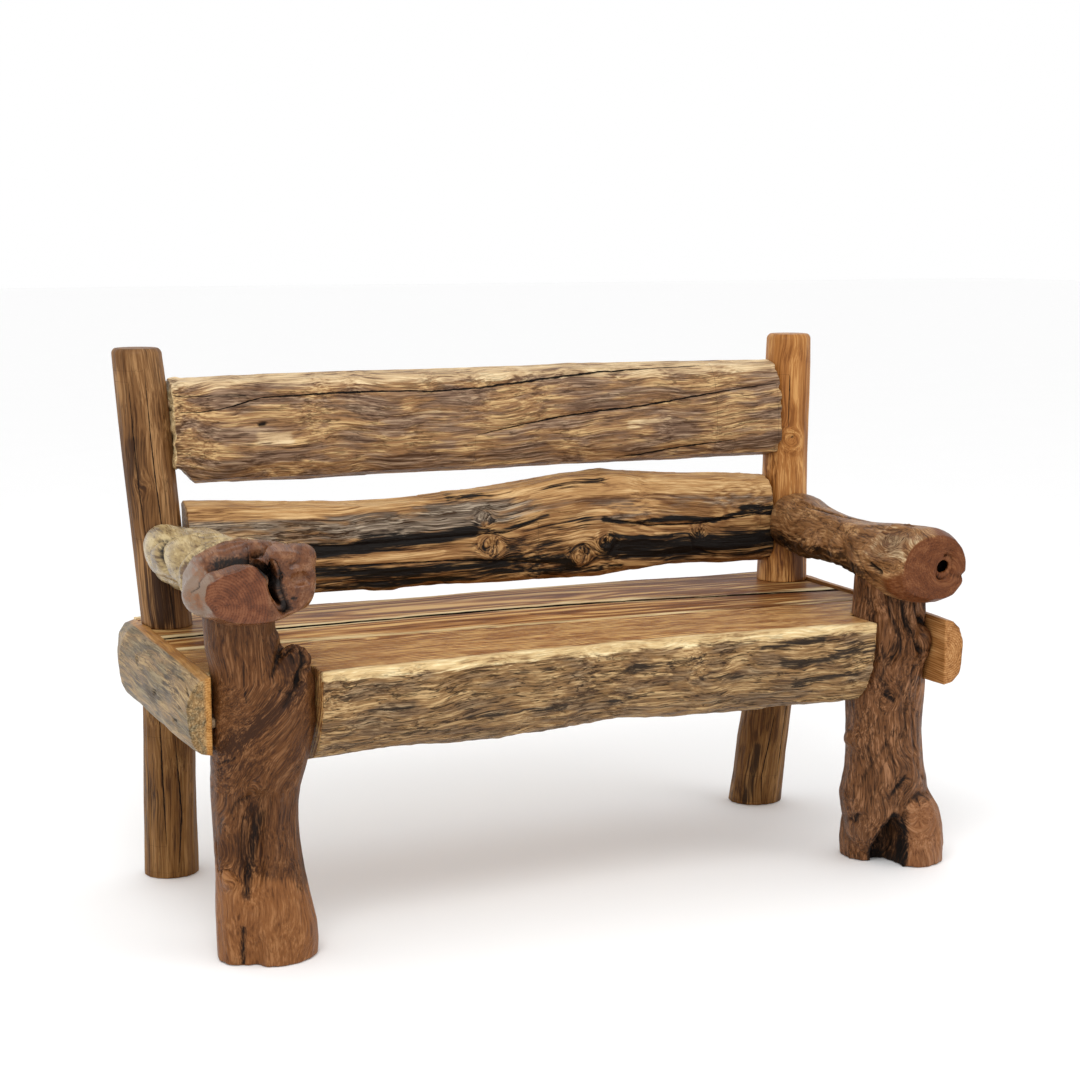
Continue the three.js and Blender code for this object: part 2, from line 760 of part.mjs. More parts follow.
// ---------------------------------------------------------------- finishes
const wood = (color, roughness) => new THREE.MeshStandardMaterial({ color, roughness, metalness: 0 });
const rootWood = () => wood(0x7a4a2a, 0.42);
const poleWood = () => wood(0xa06a38, 0.5);
const legPoleWood = () => wood(0x7d5530, 0.55);
const seatWood = () => wood(0x9a6438, 0.4);
const greySlabWood = () => wood(0x7f5f40, 0.6);
const charredSlabWood = () => wood(0x6b4a2e, 0.6);
const railWood = () => wood(0x97784c, 0.6);
const hiddenWood = () => wood(0xb08a5a, 0.7);
const dowelWood = () => wood(0xc09a66, 0.7);
const steel = () => new THREE.MeshStandardMaterial({ color: 0x9a9a98, roughness: 0.35, metalness: 1 });

// ---------------------------------------------------------------- the bench
const bench = new THREE.Group();

function add(name, body, material) {
  const mesh = new THREE.Mesh(geometryOf(body), material);
  mesh.name = name;
  bench.add(mesh);
}

bothSides.forEach((side) => {
  add(`front_leg_${side}`, finishedFrontLeg(side), rootWood());
  add(`rear_leg_${side}`, finishedRearLeg(side), legPoleWood());
  add(`back_post_${side}`, finishedPost(side), poleWood());
  add(`arm_${side}`, finishedArm(side), rootWood());
  add(`side_rail_${side}`, finishedRail(side), railWood());
  add(`arm_dowel_${side}`, armDowel(side), dowelWood());
  add(`slab_dowel_${side}`, slabDowel(side), dowelWood());
  railEnds.forEach((end) => add(`rail_dowel_${side}_${end}`, railDowel(side, end), dowelWood()));
  backDowels.forEach((dowel, i) => {
    add(`back_dowel_${side}_${i + 1}`, backDowel(side, dowel), dowelWood());
  });
});
add('seat_slab_front', finishedSlab(), seatWood());
add('seat_plank_middle', finishedPlank('middle'), seatWood());
add('seat_plank_rear', finishedPlank('rear'), seatWood());
add('back_slab_upper', finishedBackSlab('upper'), greySlabWood());
add('back_slab_lower', finishedBackSlab('lower'), charredSlabWood());
Object.keys(bearerX).forEach((name) => add(`seat_bearer_${name}`, finishedBearer(name), hiddenWood()));
seatScrews.forEach((screw, i) => add(`seat_screw_${i + 1}`, seatScrew(screw), steel()));

// The origin is the middle of the bench's footprint, on the floor.
const bounds = new THREE.Box3().setFromObject(bench);
const centre = bounds.getCenter(new THREE.Vector3());
bench.position.set(-centre.x, -centre.y, -bounds.min.z);

export default bench;
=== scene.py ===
# %% [markdown]
# # A rustic garden bench
# Split logs make the seat and the back, and two polished roots with burl heads make the front
# legs and the arms. The CAD frame already holds every piece at its size and place. Here each
# visible piece is copied from the frame, remeshed finely, carved, and given its own wood.

# %% Load the frame
import math

import bpy
import numpy as np
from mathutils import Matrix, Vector


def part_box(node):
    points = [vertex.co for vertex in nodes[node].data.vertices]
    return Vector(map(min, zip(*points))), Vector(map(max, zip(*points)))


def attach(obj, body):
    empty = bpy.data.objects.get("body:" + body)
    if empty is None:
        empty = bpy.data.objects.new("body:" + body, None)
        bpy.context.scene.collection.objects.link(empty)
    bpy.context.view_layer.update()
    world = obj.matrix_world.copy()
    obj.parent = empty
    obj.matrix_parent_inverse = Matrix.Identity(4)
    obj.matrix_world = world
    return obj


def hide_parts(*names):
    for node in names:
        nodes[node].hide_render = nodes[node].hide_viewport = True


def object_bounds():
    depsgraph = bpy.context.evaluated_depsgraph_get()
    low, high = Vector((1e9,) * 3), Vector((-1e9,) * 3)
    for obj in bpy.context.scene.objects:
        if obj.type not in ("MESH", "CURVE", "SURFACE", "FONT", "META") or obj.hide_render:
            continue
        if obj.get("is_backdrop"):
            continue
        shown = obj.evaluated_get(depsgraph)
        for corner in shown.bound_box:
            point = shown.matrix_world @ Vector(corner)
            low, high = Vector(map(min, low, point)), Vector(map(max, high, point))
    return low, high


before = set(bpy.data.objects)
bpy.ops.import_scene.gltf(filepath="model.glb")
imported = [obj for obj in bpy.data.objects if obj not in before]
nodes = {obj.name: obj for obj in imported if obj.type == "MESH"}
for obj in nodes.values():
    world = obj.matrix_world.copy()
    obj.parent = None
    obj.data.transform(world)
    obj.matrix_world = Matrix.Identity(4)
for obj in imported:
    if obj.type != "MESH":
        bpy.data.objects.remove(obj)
cad_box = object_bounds()
print("frame loaded:", len(nodes), "pieces")

# %% [markdown]
# ## Working copies
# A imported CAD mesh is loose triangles, and its logs are faceted. Its doubles are merged, a voxel
# remesh turns it into one even skin of small quads, and a few rounds of smoothing melt the
# facets away. Sawn planks get two rounds, so that they stay flat, and roots get about twenty.

# %% Copy one piece of the frame into a fine, smooth skin
MM = 0.001
SAME_POINT = 0.00001
SLAB_VOXEL, PLANK_VOXEL, BACK_VOXEL, POLE_VOXEL, ROOT_VOXEL = 0.0034, 0.0032, 0.0029, 0.0026, 0.0024


def points_of(piece):
    flat = np.empty(len(piece.data.vertices) * 3)
    piece.data.vertices.foreach_get("co", flat)
    return flat.reshape(-1, 3)


def normals_of(piece):
    flat = np.empty(len(piece.data.vertices) * 3)
    piece.data.vertex_normals.foreach_get("vector", flat)
    return flat.reshape(-1, 3)


def add_lump(centre, radii):
    bpy.ops.mesh.primitive_ico_sphere_add(subdivisions=4, radius=1, location=[c * MM for c in centre])
    lump = bpy.context.object
    lump.scale = [r * MM for r in radii]
    return lump


def working_copy(node, voxel, rounds, lumps=()):
    """Lumps are swellings that the remesh melts into the piece: a centre and three radii each.

    It gives the piece, and then its points and its normals, which are p and n from here on."""
    bpy.ops.object.select_all(action="DESELECT")
    mesh = nodes[node].data.copy()
    mesh.materials.clear()
    piece = bpy.data.objects.new(node + "_wood", mesh)
    bpy.context.scene.collection.objects.link(piece)
    swellings = [add_lump(centre, radii) for centre, radii in lumps]
    bpy.ops.object.select_all(action="DESELECT")
    for swelling in swellings:
        swelling.select_set(True)
    bpy.context.view_layer.objects.active = piece
    piece.select_set(True)
    if swellings:
        bpy.ops.object.join()
    bpy.ops.object.mode_set(mode="EDIT")
    bpy.ops.mesh.select_all(action="SELECT")
    bpy.ops.mesh.remove_doubles(threshold=SAME_POINT)
    bpy.ops.object.mode_set(mode="OBJECT")
    mesh.remesh_voxel_size = voxel
    mesh.remesh_voxel_adaptivity = 0.0
    bpy.ops.object.voxel_remesh()
    smooth = piece.modifiers.new("melt the facets", "SMOOTH")
    smooth.factor = 0.5
    smooth.iterations = rounds
    bpy.ops.object.modifier_apply(modifier=smooth.name)
    bpy.ops.object.shade_smooth()
    return piece, points_of(piece), normals_of(piece)


# %% [markdown]
# ## Carving tools
# Carving happens on the skin's points, all at once with numpy: a random field roughens the wood,
# a stroke presses a groove or raises a ridge along a path, and a knot pushes the grain aside.
# Each tool also leaves a mark on the points that the wood's material reads later.

# %% Move the skin's points, and leave marks on them
def move_points(piece, points):
    piece.data.vertices.foreach_set("co", points.ravel())
    piece.data.update()


def push(piece, amount):
    """Moves each point outwards by its amount, in millimetres."""
    move_points(piece, points_of(piece) + normals_of(piece) * (amount * MM)[:, None])


def mark(piece, name, values):
    kind = "FLOAT_VECTOR" if values.ndim == 2 else "FLOAT"
    layer = piece.data.attributes.new(name, kind, "POINT")
    layer.data.foreach_set("vector" if values.ndim == 2 else "value", values.ravel())


# %% A smooth random field, the same on every run
PRIMES = (374761393, 668265263, 1274126177)
SEED_STEP = 69069
WORD = 0xFFFFFFFF


def lattice(cell, seed):
    """A number from -1 to 1 for each cell, stirred from its place and the seed."""
    h = cell[..., 0] * PRIMES[0] + cell[..., 1] * PRIMES[1] + cell[..., 2] * PRIMES[2] + seed * SEED_STEP
    h = (h ^ (h >> 13)) & WORD
    h = (h * PRIMES[2]) & WORD
    h = h ^ (h >> 16)
    return (h & 0xFFFF) / 32767.5 - 1.0


def field(points, lengths, seed, octaves=2):
    """Soft bumps as long as the lengths say, with finer ones on them for each further octave."""
    total = np.zeros(len(points))
    share = 1.0
    for octave in range(octaves):
        p = points / (np.array(lengths) / 2.0**octave)
        cell = np.floor(p).astype(np.int64)
        t = p - cell
        t = t * t * (3 - 2 * t)
        value = 0.0
        for dx in (0, 1):
            for dy in (0, 1):
                for dz in (0, 1):
                    corner = lattice(cell + np.array([dx, dy, dz]), seed + octave * 17)
                    weight = np.abs(1 - dx - t[:, 0]) * np.abs(1 - dy - t[:, 1])
                    value = value + corner * (weight * np.abs(1 - dz - t[:, 2]))
        total += value * share
        share *= 0.5
    return total


# %% Ramps, and the distance from each point to a path seen from one side
def ramp(value, low, high):
    """0 at low and 1 at high, with soft ends."""
    share = np.clip((value - low) / (high - low), 0, 1)
    return share * share * (3 - 2 * share)


def bell(distance, width):
    """1 at no distance, and next to nothing past twice the width."""
    return np.exp(-((distance / width) ** 2))


# the two axes seen from each side, the axis that looks out of it, and which way that is
FACING = {"front": ((0, 2), 1, -1), "left": ((1, 2), 0, -1), "right": ((1, 2), 0, 1), "top": ((0, 1), 2, 1)}


def distance_to(points, facing, path):
    seen = points[:, FACING[facing][0]]
    path = [np.array(p) * MM for p in path]
    best = np.linalg.norm(seen - path[0], axis=1)
    for a, b in zip(path, path[1:]):
        along = np.clip(((seen - a) @ (b - a)) / ((b - a) @ (b - a)), 0, 1)
        best = np.minimum(best, np.linalg.norm(seen - (a + along[:, None] * (b - a)), axis=1))
    return best


def towards(normals, facing):
    """1 on the skin that is turned to that side, and 0 on the skin that is turned away."""
    _, axis, sign = FACING[facing]
    return ramp(normals[:, axis] * sign, 0.0, 0.35)


# %% [markdown]
# ### Grain
# Wood is a bundle of fibres round a pith, so each point is given its place in the log: how far
# along it lies, and how far off the pith. Rings, fibres and checks are all drawn from that, and
# so they run over the sawn ends and the round sides as they do in a real log. At a knot the
# grain closes up towards the branch's middle, and flows round it.

# %% Each point's place in its log
AXES = {"x": (0, 1, 2), "y": (1, 0, 2), "z": (2, 0, 1)}


def grain_of(points, run, pith, knots=(), swirl=0.0, seed=1, reach=0.09):
    """pith is the line of the log's middle. Each knot has a centre, a direction, a radius, and its
    swing, which is how far off its middle the branch's own pith lies. swirl and reach are how far
    the grain wanders, and over what length."""
    a, b, c = AXES[run]
    pith = sorted(pith)
    stations = [p[0] * MM for p in pith]

    def place(at):
        along = at[:, a]
        off_b = at[:, b] - np.interp(along, stations, [p[1] * MM for p in pith])
        off_c = at[:, c] - np.interp(along, stations, [p[2] * MM for p in pith])
        return np.column_stack([along, off_b, off_c])

    grain = place(points)
    if swirl:
        for k in (1, 2):
            grain[:, k] += swirl * field(points, (reach, reach, reach), seed + k)
    for centre, outward, radius, swing in knots:
        n = np.array(outward, float)
        n /= np.linalg.norm(n)
        side = np.cross(n, [0.3, 0.5, 0.8])
        side /= np.linalg.norm(side)
        up = np.cross(n, side)
        middle = np.array(centre) * MM
        offset = points - middle
        home = place(middle[None, :])[0]
        depth = np.linalg.norm(home[1:])
        branch = np.column_stack([
            home[0] + offset @ n,
            home[1] * (1 - swing * MM / depth) + (offset @ side) * 1.3,
            home[2] * (1 - swing * MM / depth) + (offset @ up) * 1.3,
        ])
        near = bell(np.linalg.norm(offset, axis=1), radius * MM)[:, None]
        grain = grain * (1 - near) + branch * near
    return grain


# %% A knot swells the wood, with a dimple at its middle
def knot_relief(points, knots, height):
    total = np.zeros(len(points))
    for centre, _, radius, _ in knots:
        d = np.linalg.norm(points - np.array(centre) * MM, axis=1) / (radius * MM)
        total += height * (bell(d, 1.3) - 1.3 * bell(d, 0.45))
    return total


# %% Press grooves and raise ridges along paths, seen from one side
def carve(piece, facing, strokes, hollow=None):
    """Each stroke has a path, a width, a depth (less than 0 for a ridge) and a darkness (0 if left out)."""
    points = points_of(piece)
    hollow = np.zeros(len(points)) if hollow is None else hollow
    for path, width, depth, *dark in strokes:
        normals = normals_of(piece)
        near = bell(distance_to(points, facing, path), width * MM) * towards(normals, facing)
        points = points - normals * (near * depth * MM)[:, None]
        hollow = np.maximum(hollow, near * sum(dark))
        move_points(piece, points)
    return hollow


def stain(points, normals, facing, marks):
    """Each mark has a path, a width and a strength."""
    out = np.zeros(len(points))
    for path, width, strength in marks:
        near = bell(distance_to(points, facing, path), width * MM)
        out = np.maximum(out, near * strength * towards(normals, facing))
    return out


# %% Long drying checks: how many half widths each point lies to one side of each
MOST_CHECKS = 3
FAR_OFF = 9.0


def check_lines(along, across, face, lines):
    out = np.full((len(along), MOST_CHECKS), FAR_OFF)
    for k, (path, half_width) in enumerate(lines):
        path = sorted(path)
        stations = [p[0] * MM for p in path]
        middle = np.interp(along, stations, [p[1] * MM for p in path])
        length = stations[-1] - stations[0]
        place = np.clip((along - stations[0]) / length, 0, 1)
        inside = (along > stations[0]) & (along < stations[-1])
        taper = np.sqrt(np.clip(np.sin(place * math.pi), 0.02, 1))
        value = np.clip((across - middle) / (half_width * MM * taper), -FAR_OFF, FAR_OFF)
        out[:, k] = np.where(inside & face, value, FAR_OFF)
    return out


print("carving tools ready")

# %% [markdown]
# ## Pieces
# The seat first. The front slab is half a log: its top is sawn and polished, its front is the
# bare log with the bark off, rough with torn fibres. Its front arris is pale sapwood.

# %% Finish a piece: its marks, what it rides on and what it stands for
pieces = {}


def finish_piece(piece, node, slot, **marks):
    """No point sinks below the ground, and a mark that isn't given is none."""
    p = points_of(piece)
    p[:, 2] = np.maximum(p[:, 2], 0.0)
    move_points(piece, p)
    for name in ("hollow", "pale", "char", "skin"):
        mark(piece, name, marks.get(name, np.zeros(len(p))))
    mark(piece, "grain", marks["grain"])
    mark(piece, "checks", marks.get("checks", np.full((len(p), MOST_CHECKS), FAR_OFF)))
    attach(piece, "root")
    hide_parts(node)
    pieces[node] = piece
    print(node, len(piece.data.polygons), "quads")


# %% The edges of a slab's top
COLUMNS = 60


def edge_line(p, on_top, pick):
    """The y of the top's front or rear edge (pick is min or max) at each point's x."""
    columns = np.linspace(p[:, 0].min(), p[:, 0].max(), COLUMNS)
    nearest = np.clip(np.searchsorted(columns, p[on_top, 0]), 1, COLUMNS - 1)
    edge = [pick(p[on_top, 1][nearest == k]) for k in range(1, COLUMNS)]
    return np.interp(p[:, 0], (columns[1:] + columns[:-1]) / 2, edge)


# %% The front slab
slab, p, n = working_copy("seat_slab_front", SLAB_VOXEL, rounds=2)
_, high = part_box("seat_slab_front")
arris = edge_line(p, (n[:, 2] > 0.8) & (p[:, 2] > high.z - 0.003), np.min)
top = ramp(n[:, 2], 0.5, 0.9) * ramp(p[:, 2], high.z - 0.010, high.z - 0.003)
back = ramp(n[:, 1], 0.5, 0.9)
ends = ramp(np.abs(n[:, 0]), 0.6, 0.9)
skin = (1 - top) * (1 - back) * (1 - ends)
slab_pith = [(-640, -60, 430), (0, -50, 436), (640, -60, 430)]
slab_grain = grain_of(p, "x", slab_pith, swirl=0.010, seed=5, reach=0.10)
torn = 1.5 * field(slab_grain, (0.05, 0.014, 0.014), 11, 3) + 1.3 * field(p, (0.022, 0.02, 0.007), 12, 2)
push(slab, (torn + 2.0 * field(p, (0.10, 0.05, 0.05), 13, 1)) * skin)
slab_hollow = carve(slab, "front", [
    ([(300, 416), (365, 424), (430, 428)], 4, 1.5, 0.5),
    ([(300, 402), (340, 398)], 3, 1.2, 0.4),
    ([(-80, 418), (-20, 424)], 4, 1, 0.4),
    ([(-420, 352), (-300, 356)], 2.5, 1.2, 0.35),
])
slab_char = stain(p, n, "front", [
    ([(60, 408), (180, 414)], 9, 0.62), ([(290, 424), (400, 428)], 8, 0.80),
    ([(330, 392), (450, 396)], 10, 0.66), ([(-20, 398), (60, 404)], 8, 0.55),
    ([(-160, 420), (-90, 416)], 7, 0.55), ([(20, 352), (90, 358)], 7, 0.55),
    ([(-250, 392), (-190, 386)], 10, 0.50), ([(-230, 352), (-60, 350)], 6, 0.55),
    ([(360, 352), (470, 366)], 10, 0.62), ([(430, 405), (520, 410)], 14, 0.66),
    ([(-400, 380), (-330, 384)], 7, 0.45), ([(180, 380), (280, 372)], 7, 0.5),
])
arris_sap = bell(p[:, 1] - arris, 0.012) * ramp(p[:, 2], high.z - 0.022, high.z - 0.009)
finish_piece(slab, "seat_slab_front", "seat_wood", grain=slab_grain, skin=skin, hollow=slab_hollow,
             pale=arris_sap, char=slab_char)

# %% [markdown]
# The two planks behind it are sawn all round, flat and polished, with their arrises eased. Their
# long edges follow the log and are left pale, and the open joints are darkened as painted shade.

# %% The middle and rear planks
def plank(node, seed, pith_y, front_joint_shade, rear_joint_shade, marks):
    piece, p, n = working_copy(node, PLANK_VOXEL, rounds=2)
    pith = [(-640, pith_y, 330), (100, pith_y + 14, 345), (640, pith_y - 8, 328)]
    grain = grain_of(p, "x", pith, swirl=0.006, seed=seed, reach=0.25)
    push(piece, 0.25 * field(p, (0.15, 0.03, 0.03), seed, 2))
    from_front = p[:, 1] - edge_line(p, n[:, 2] > 0.8, np.min)
    from_rear = edge_line(p, n[:, 2] > 0.8, np.max) - p[:, 1]
    # painted shade: the planks' edges and sides at the open joints are darkened through the hollow mark
    joint_shade = np.maximum(front_joint_shade * (1 - ramp(from_front, 0.001, 0.006)),
                      rear_joint_shade * (1 - ramp(from_rear, 0.001, 0.006)))
    wander = 0.010 * field(p, (0.22, 1, 1), seed + 5, 2)
    sap = np.maximum(bell(from_front - wander, 0.020), 0.8 * bell(from_rear - wander, 0.014))
    reddened = np.maximum(stain(p, n, "top", marks), 0.62 * ramp(p[:, 0], 0.0, 0.40))
    finish_piece(piece, node, "seat_wood", grain=grain, pale=sap, hollow=joint_shade, char=reddened)


plank("seat_plank_middle", seed=21, pith_y=10, front_joint_shade=0.5, rear_joint_shade=1.0, marks=[
    ([(-300, 10), (-100, 30)], 12, 0.6), ([(0, 40), (300, 20)], 10, 0.6),
])
plank("seat_plank_rear", seed=22, pith_y=175, front_joint_shade=1.0, rear_joint_shade=0.0, marks=[
    ([(-200, 140), (100, 150)], 10, 0.6), ([(150, 90), (500, 110)], 18, 0.7),
    ([(-500, 220), (-250, 200)], 12, 0.6),
])

# %% [markdown]
# ## Back slabs
# Both are half logs, flat behind. The upper one is grey brown, with long open checks that run
# nearly its whole length. The lower one has grown round a row of knots, and is charred below.

# %% The upper back slab
def log_side(n):
    """The round front of a half log, without its flat back and its ends."""
    return ramp(-n[:, 1], -0.3, 0.1) * (1 - ramp(np.abs(n[:, 0]), 0.6, 0.9))


upper, p, n = working_copy("back_slab_upper", BACK_VOXEL, rounds=3)
_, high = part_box("back_slab_upper")
front = log_side(n)
upper_pith = [(-600, 240, 770), (0, 244, 765), (600, 240, 785)]
upper_grain = grain_of(p, "x", upper_pith, swirl=0.009, seed=31, reach=0.10)
relief = (1.2 * field(upper_grain, (0.09, 0.014, 0.014), 32, 3) + 0.7 * field(p, (0.03, 0.02, 0.006), 33, 2)
          + 1.2 * field(p, (0.12, 0.05, 0.04), 34, 1))
end_bite = 3.5 * ramp(np.abs(p[:, 0]), 0.545, 0.575) * field(p, (0.02, 0.02, 0.012), 35, 2)
push(upper, relief * front + end_bite)
upper_checks = [
    ([(-590, 811), (-543, 809), (-500, 814), (-438, 829), (-350, 833), (-242, 836), (-133, 831),
      (-38, 835), (80, 846), (201, 856), (325, 861), (430, 863)], 1.9),
    ([(-52, 751), (33, 766), (110, 778), (189, 786), (270, 792), (394, 808), (480, 818), (560, 825)], 1.7),
    ([(230, 698), (276, 701), (356, 712), (417, 717), (470, 722)], 1.7),
]
upper_lines = check_lines(p[:, 0], p[:, 2], n[:, 1] < 0.2, upper_checks)
push(upper, -3.2 * bell(upper_lines, 3.0).sum(axis=1))
upper_hollow = carve(upper, "front", [
    ([(-442, 784), (-434, 785)], 4.5, 4, 1),
    ([(-583, 836), (-540, 835), (-463, 834)], 2.5, 1.6, 0.7),
    ([(-575, 790), (-545, 792)], 2.5, 1.6, 0.6),
    ([(-330, 786), (-318, 786)], 3, 1.5, 0.7),
    ([(-400, 742), (-360, 744)], 2.5, 1.2, 0.4),
])
upper_pale = stain(p, n, "front", [
    ([(-440, 764), (-395, 762)], 12, 0.75), ([(-200, 790), (-120, 796)], 8, 0.5),
    ([(250, 760), (330, 770)], 8, 0.5),
])
upper_pale = np.maximum(ramp(p[:, 2], high.z - 0.034, high.z - 0.012) * 0.75, upper_pale)
upper_char = np.maximum(0.30 * bell(p[:, 2] - 0.705, 0.03), 0.5 * ramp(np.abs(p[:, 0]), 0.555, 0.580))
finish_piece(upper, "back_slab_upper", "upper_back_wood", grain=upper_grain, skin=front, hollow=upper_hollow,
             checks=upper_lines, pale=upper_pale, char=front * upper_char)

# %% The lower back slab
lower, p, n = working_copy("back_slab_lower", BACK_VOXEL, rounds=3)
front = log_side(n)
lower_knots = [
    ((147, 155, 528), (-0.2, -1, -0.1), 18, 12),
    ((196, 152, 548), (0.2, -1, 0), 15, 8),
    ((390, 160, 556), (0, -1, 0), 13, 8),
    ((-28, 157, 556), (0, -1, 0), 18, 8),
    ((-40, 159, 604), (0, -1, 0), 14, 6),
]
lower_pith = [(-600, 235, 560), (-200, 235, 560), (150, 235, 590), (600, 235, 575)]
lower_grain = grain_of(p, "x", lower_pith, lower_knots, swirl=0.009, seed=41, reach=0.12)
relief = (2.2 * field(lower_grain, (0.10, 0.016, 0.016), 42, 3) + 1.0 * field(p, (0.03, 0.02, 0.007), 43, 2)
          + 3.0 * field(p, (0.11, 0.05, 0.04), 44, 1) + knot_relief(p, lower_knots, 5.0))
push(lower, relief * front)
lower_checks = [
    ([(210, 588), (284, 574), (389, 572), (450, 578), (520, 582)], 1.6),
    ([(-380, 538), (-236, 536), (-107, 534), (20, 524), (110, 512)], 1.4),
    ([(-480, 580), (-300, 572), (-120, 576), (0, 578), (60, 594)], 1.4),
]
lower_lines = check_lines(p[:, 0], p[:, 2], n[:, 1] < 0.2, lower_checks)
push(lower, -2.4 * bell(lower_lines, 2.5).sum(axis=1))
lower_hollow = carve(lower, "front", [
    ([(-60, 500), (0, 490), (60, 498)], 14, -4), ([(-240, 492), (-200, 488)], 12, -4),
    ([(-140, 488), (-110, 486)], 12, 4), ([(80, 488), (120, 486)], 12, 3),
    ([(120, 500), (170, 500)], 5, 2.5, 0.8), ([(120, 545), (150, 548), (165, 535)], 4, 2.5, 0.7),
    ([(200, 520), (215, 545)], 5, 2.5, 0.7), ([(372, 548), (378, 525), (400, 518)], 4, 2.5, 0.8),
    ([(-50, 530), (-30, 522), (0, 530)], 4, 2, 0.6), ([(-300, 505), (-120, 502)], 4, 1.5, 0.5),
])
lower_char = stain(p, n, "front", [
    ([(-560, 568), (-330, 566), (-230, 572), (-120, 574), (-60, 584)], 16, 0.95),
    ([(-60, 584), (-10, 580), (30, 590), (80, 604)], 7, 0.85),
    ([(190, 590), (250, 580), (330, 584), (420, 576), (470, 586), (560, 584)], 6, 1),
    ([(480, 592), (560, 590)], 12, 0.9),
    ([(-560, 520), (-350, 528), (-200, 520), (0, 524)], 14, 0.95),
    ([(-330, 500), (-100, 498)], 9, 0.8),
    ([(0, 530), (60, 528), (110, 524), (130, 508)], 13, 0.85),
    ([(200, 536), (300, 530), (430, 528), (570, 536)], 27, 1),
    ([(200, 562), (250, 552), (330, 550)], 8, 0.8),
    ([(-20, 508), (100, 500), (230, 502)], 10, 0.8),
    ([(-60, 545), (60, 545), (200, 540)], 34, 0.50),
    ([(-560, 500), (-200, 502), (60, 508)], 20, 0.62),
    ([(-20, 600), (60, 590), (150, 585)], 26, 0.50),
    ([(-100, 640), (60, 648), (200, 660)], 7, 0.45),
])
middle_line = np.interp(p[:, 0], [-0.6, -0.3, 0.0, 0.2, 0.6], [0.586, 0.582, 0.600, 0.590, 0.592])
height = p[:, 2] - middle_line
grey_band = ramp(height, -0.015, 0.005) * (1 - ramp(height, 0.026, 0.046))
grey_band = grey_band * (1 - 0.75 * ramp(p[:, 0], -0.02, 0.15))
lower_pale = stain(p, n, "front", [
    ([(150, 590), (210, 610), (300, 612)], 16, 0.75), ([(-500, 546), (-120, 548)], 6, 0.8),
    ([(60, 560), (170, 566)], 10, 0.6), ([(300, 556), (400, 552)], 6, 0.8),
])
finish_piece(lower, "back_slab_lower", "lower_back_wood", grain=lower_grain, skin=front * grey_band,
             hollow=lower_hollow, checks=lower_lines, char=lower_char,
             pale=np.maximum(0.8 * ramp(height, 0.024, 0.050), lower_pale))

# %% [markdown]
# ## Round timber
# The posts and the rear legs are peeled poles. They check along the grain as they dry, and keep
# the stubs of their branches as knots.

# %% Poles, with their checks and knots
END_ZONE = 0.06
EASED_END, EASED_SHARE = 0.009, 0.14


def pole(node, slot, seed, knots=(), strokes=(), checks=(), stains_and_painted_shade=(), amount=0.5):
    """Its pith runs between the middles of its two ends, and a post has its top's edge eased."""
    piece, p, n = working_copy(node, POLE_VOXEL, rounds=5)
    low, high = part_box(node)
    foot = p[p[:, 2] - low.z < END_ZONE].mean(axis=0)
    head = p[high.z - p[:, 2] < END_ZONE].mean(axis=0)
    pith = [(low.z / MM, foot[0] / MM, foot[1] / MM), (high.z / MM, head[0] / MM, head[1] / MM)]
    grain = grain_of(p, "z", pith, knots, swirl=0.005, seed=seed)
    if slot == "post_wood":
        eased = np.clip((p[:, 2] - high.z + EASED_END) / EASED_END, 0, 1) ** 2 * EASED_SHARE
        p[:, :2] = head[:2] + (p[:, :2] - head[:2]) * (1 - eased)[:, None]
        move_points(piece, p)
    round_side = 1 - ramp(np.abs(n[:, 2]), 0.6, 0.9)
    relief = amount * field(grain, (0.14, 0.018, 0.018), seed, 3) + knot_relief(p, knots, 1.0)
    push(piece, relief * round_side)
    lines = check_lines(p[:, 2], p[:, 0], n[:, 1] < -0.1, checks)
    push(piece, -1.8 * bell(lines, 2.5).sum(axis=1))
    hollow = carve(piece, "front", strokes)
    blotches = 0.5 * ramp(field(p, (0.04, 0.04, 0.16), seed + 3, 2), 0.0, 1.1) * round_side
    finish_piece(piece, node, slot, grain=grain, skin=round_side, hollow=hollow, checks=lines,
                 char=np.maximum(blotches, stain(p, n, "front", stains_and_painted_shade)))


# painted shade: the wide mark low on the right post, beside the seat and under the arm, darkens it through
# the char mark
pole("back_post_right", "post_wood", seed=51,
     knots=[((592, 172, 723), (0, -1, 0), 17, 26)],
     strokes=[([(591, 722), (593, 725)], 2.5, 1.5, 0.8)],
     checks=[([(742, 585), (765, 586), (812, 589), (840, 590)], 0.9)],
     stains_and_painted_shade=[([(590, 460), (590, 520)], 60, 0.6)])
# painted shade: the left post's first mark, low down beside the seat and under the arm, darkens it through
# the char mark
pole("back_post_left", "post_wood", seed=52,
     knots=[((-648, 165, 690), (-0.3, -1, 0), 15, 16)],
     checks=[([(455, -600), (520, -606), (600, -612), (680, -620), (760, -626), (880, -632)], 1.2),
             ([(600, -640), (680, -648), (800, -655), (860, -658)], 0.9)],
     stains_and_painted_shade=[([(-620, 470), (-625, 600)], 26, 0.75), ([(-650, 640), (-655, 760)], 14, 0.5)])
pole("rear_leg_left", "leg_wood", seed=53, amount=1.2,
     checks=[([(10, -590), (120, -586), (260, -600)], 1.5), ([(60, -612), (221, -622), (330, -628)], 1.2)])
pole("rear_leg_right", "leg_wood", seed=54, amount=1.2,
     checks=[([(8, 560), (60, 556), (190, 570)], 1.4), ([(60, 590), (221, 596), (330, 600)], 1.2)],
     stains_and_painted_shade=[([(535, 10), (545, 120)], 10, 0.8)])

# %% [markdown]
# The side rails are boards split from a log: flat inside, and the bare log outside, with a
# sawn front end that shows bright grain.

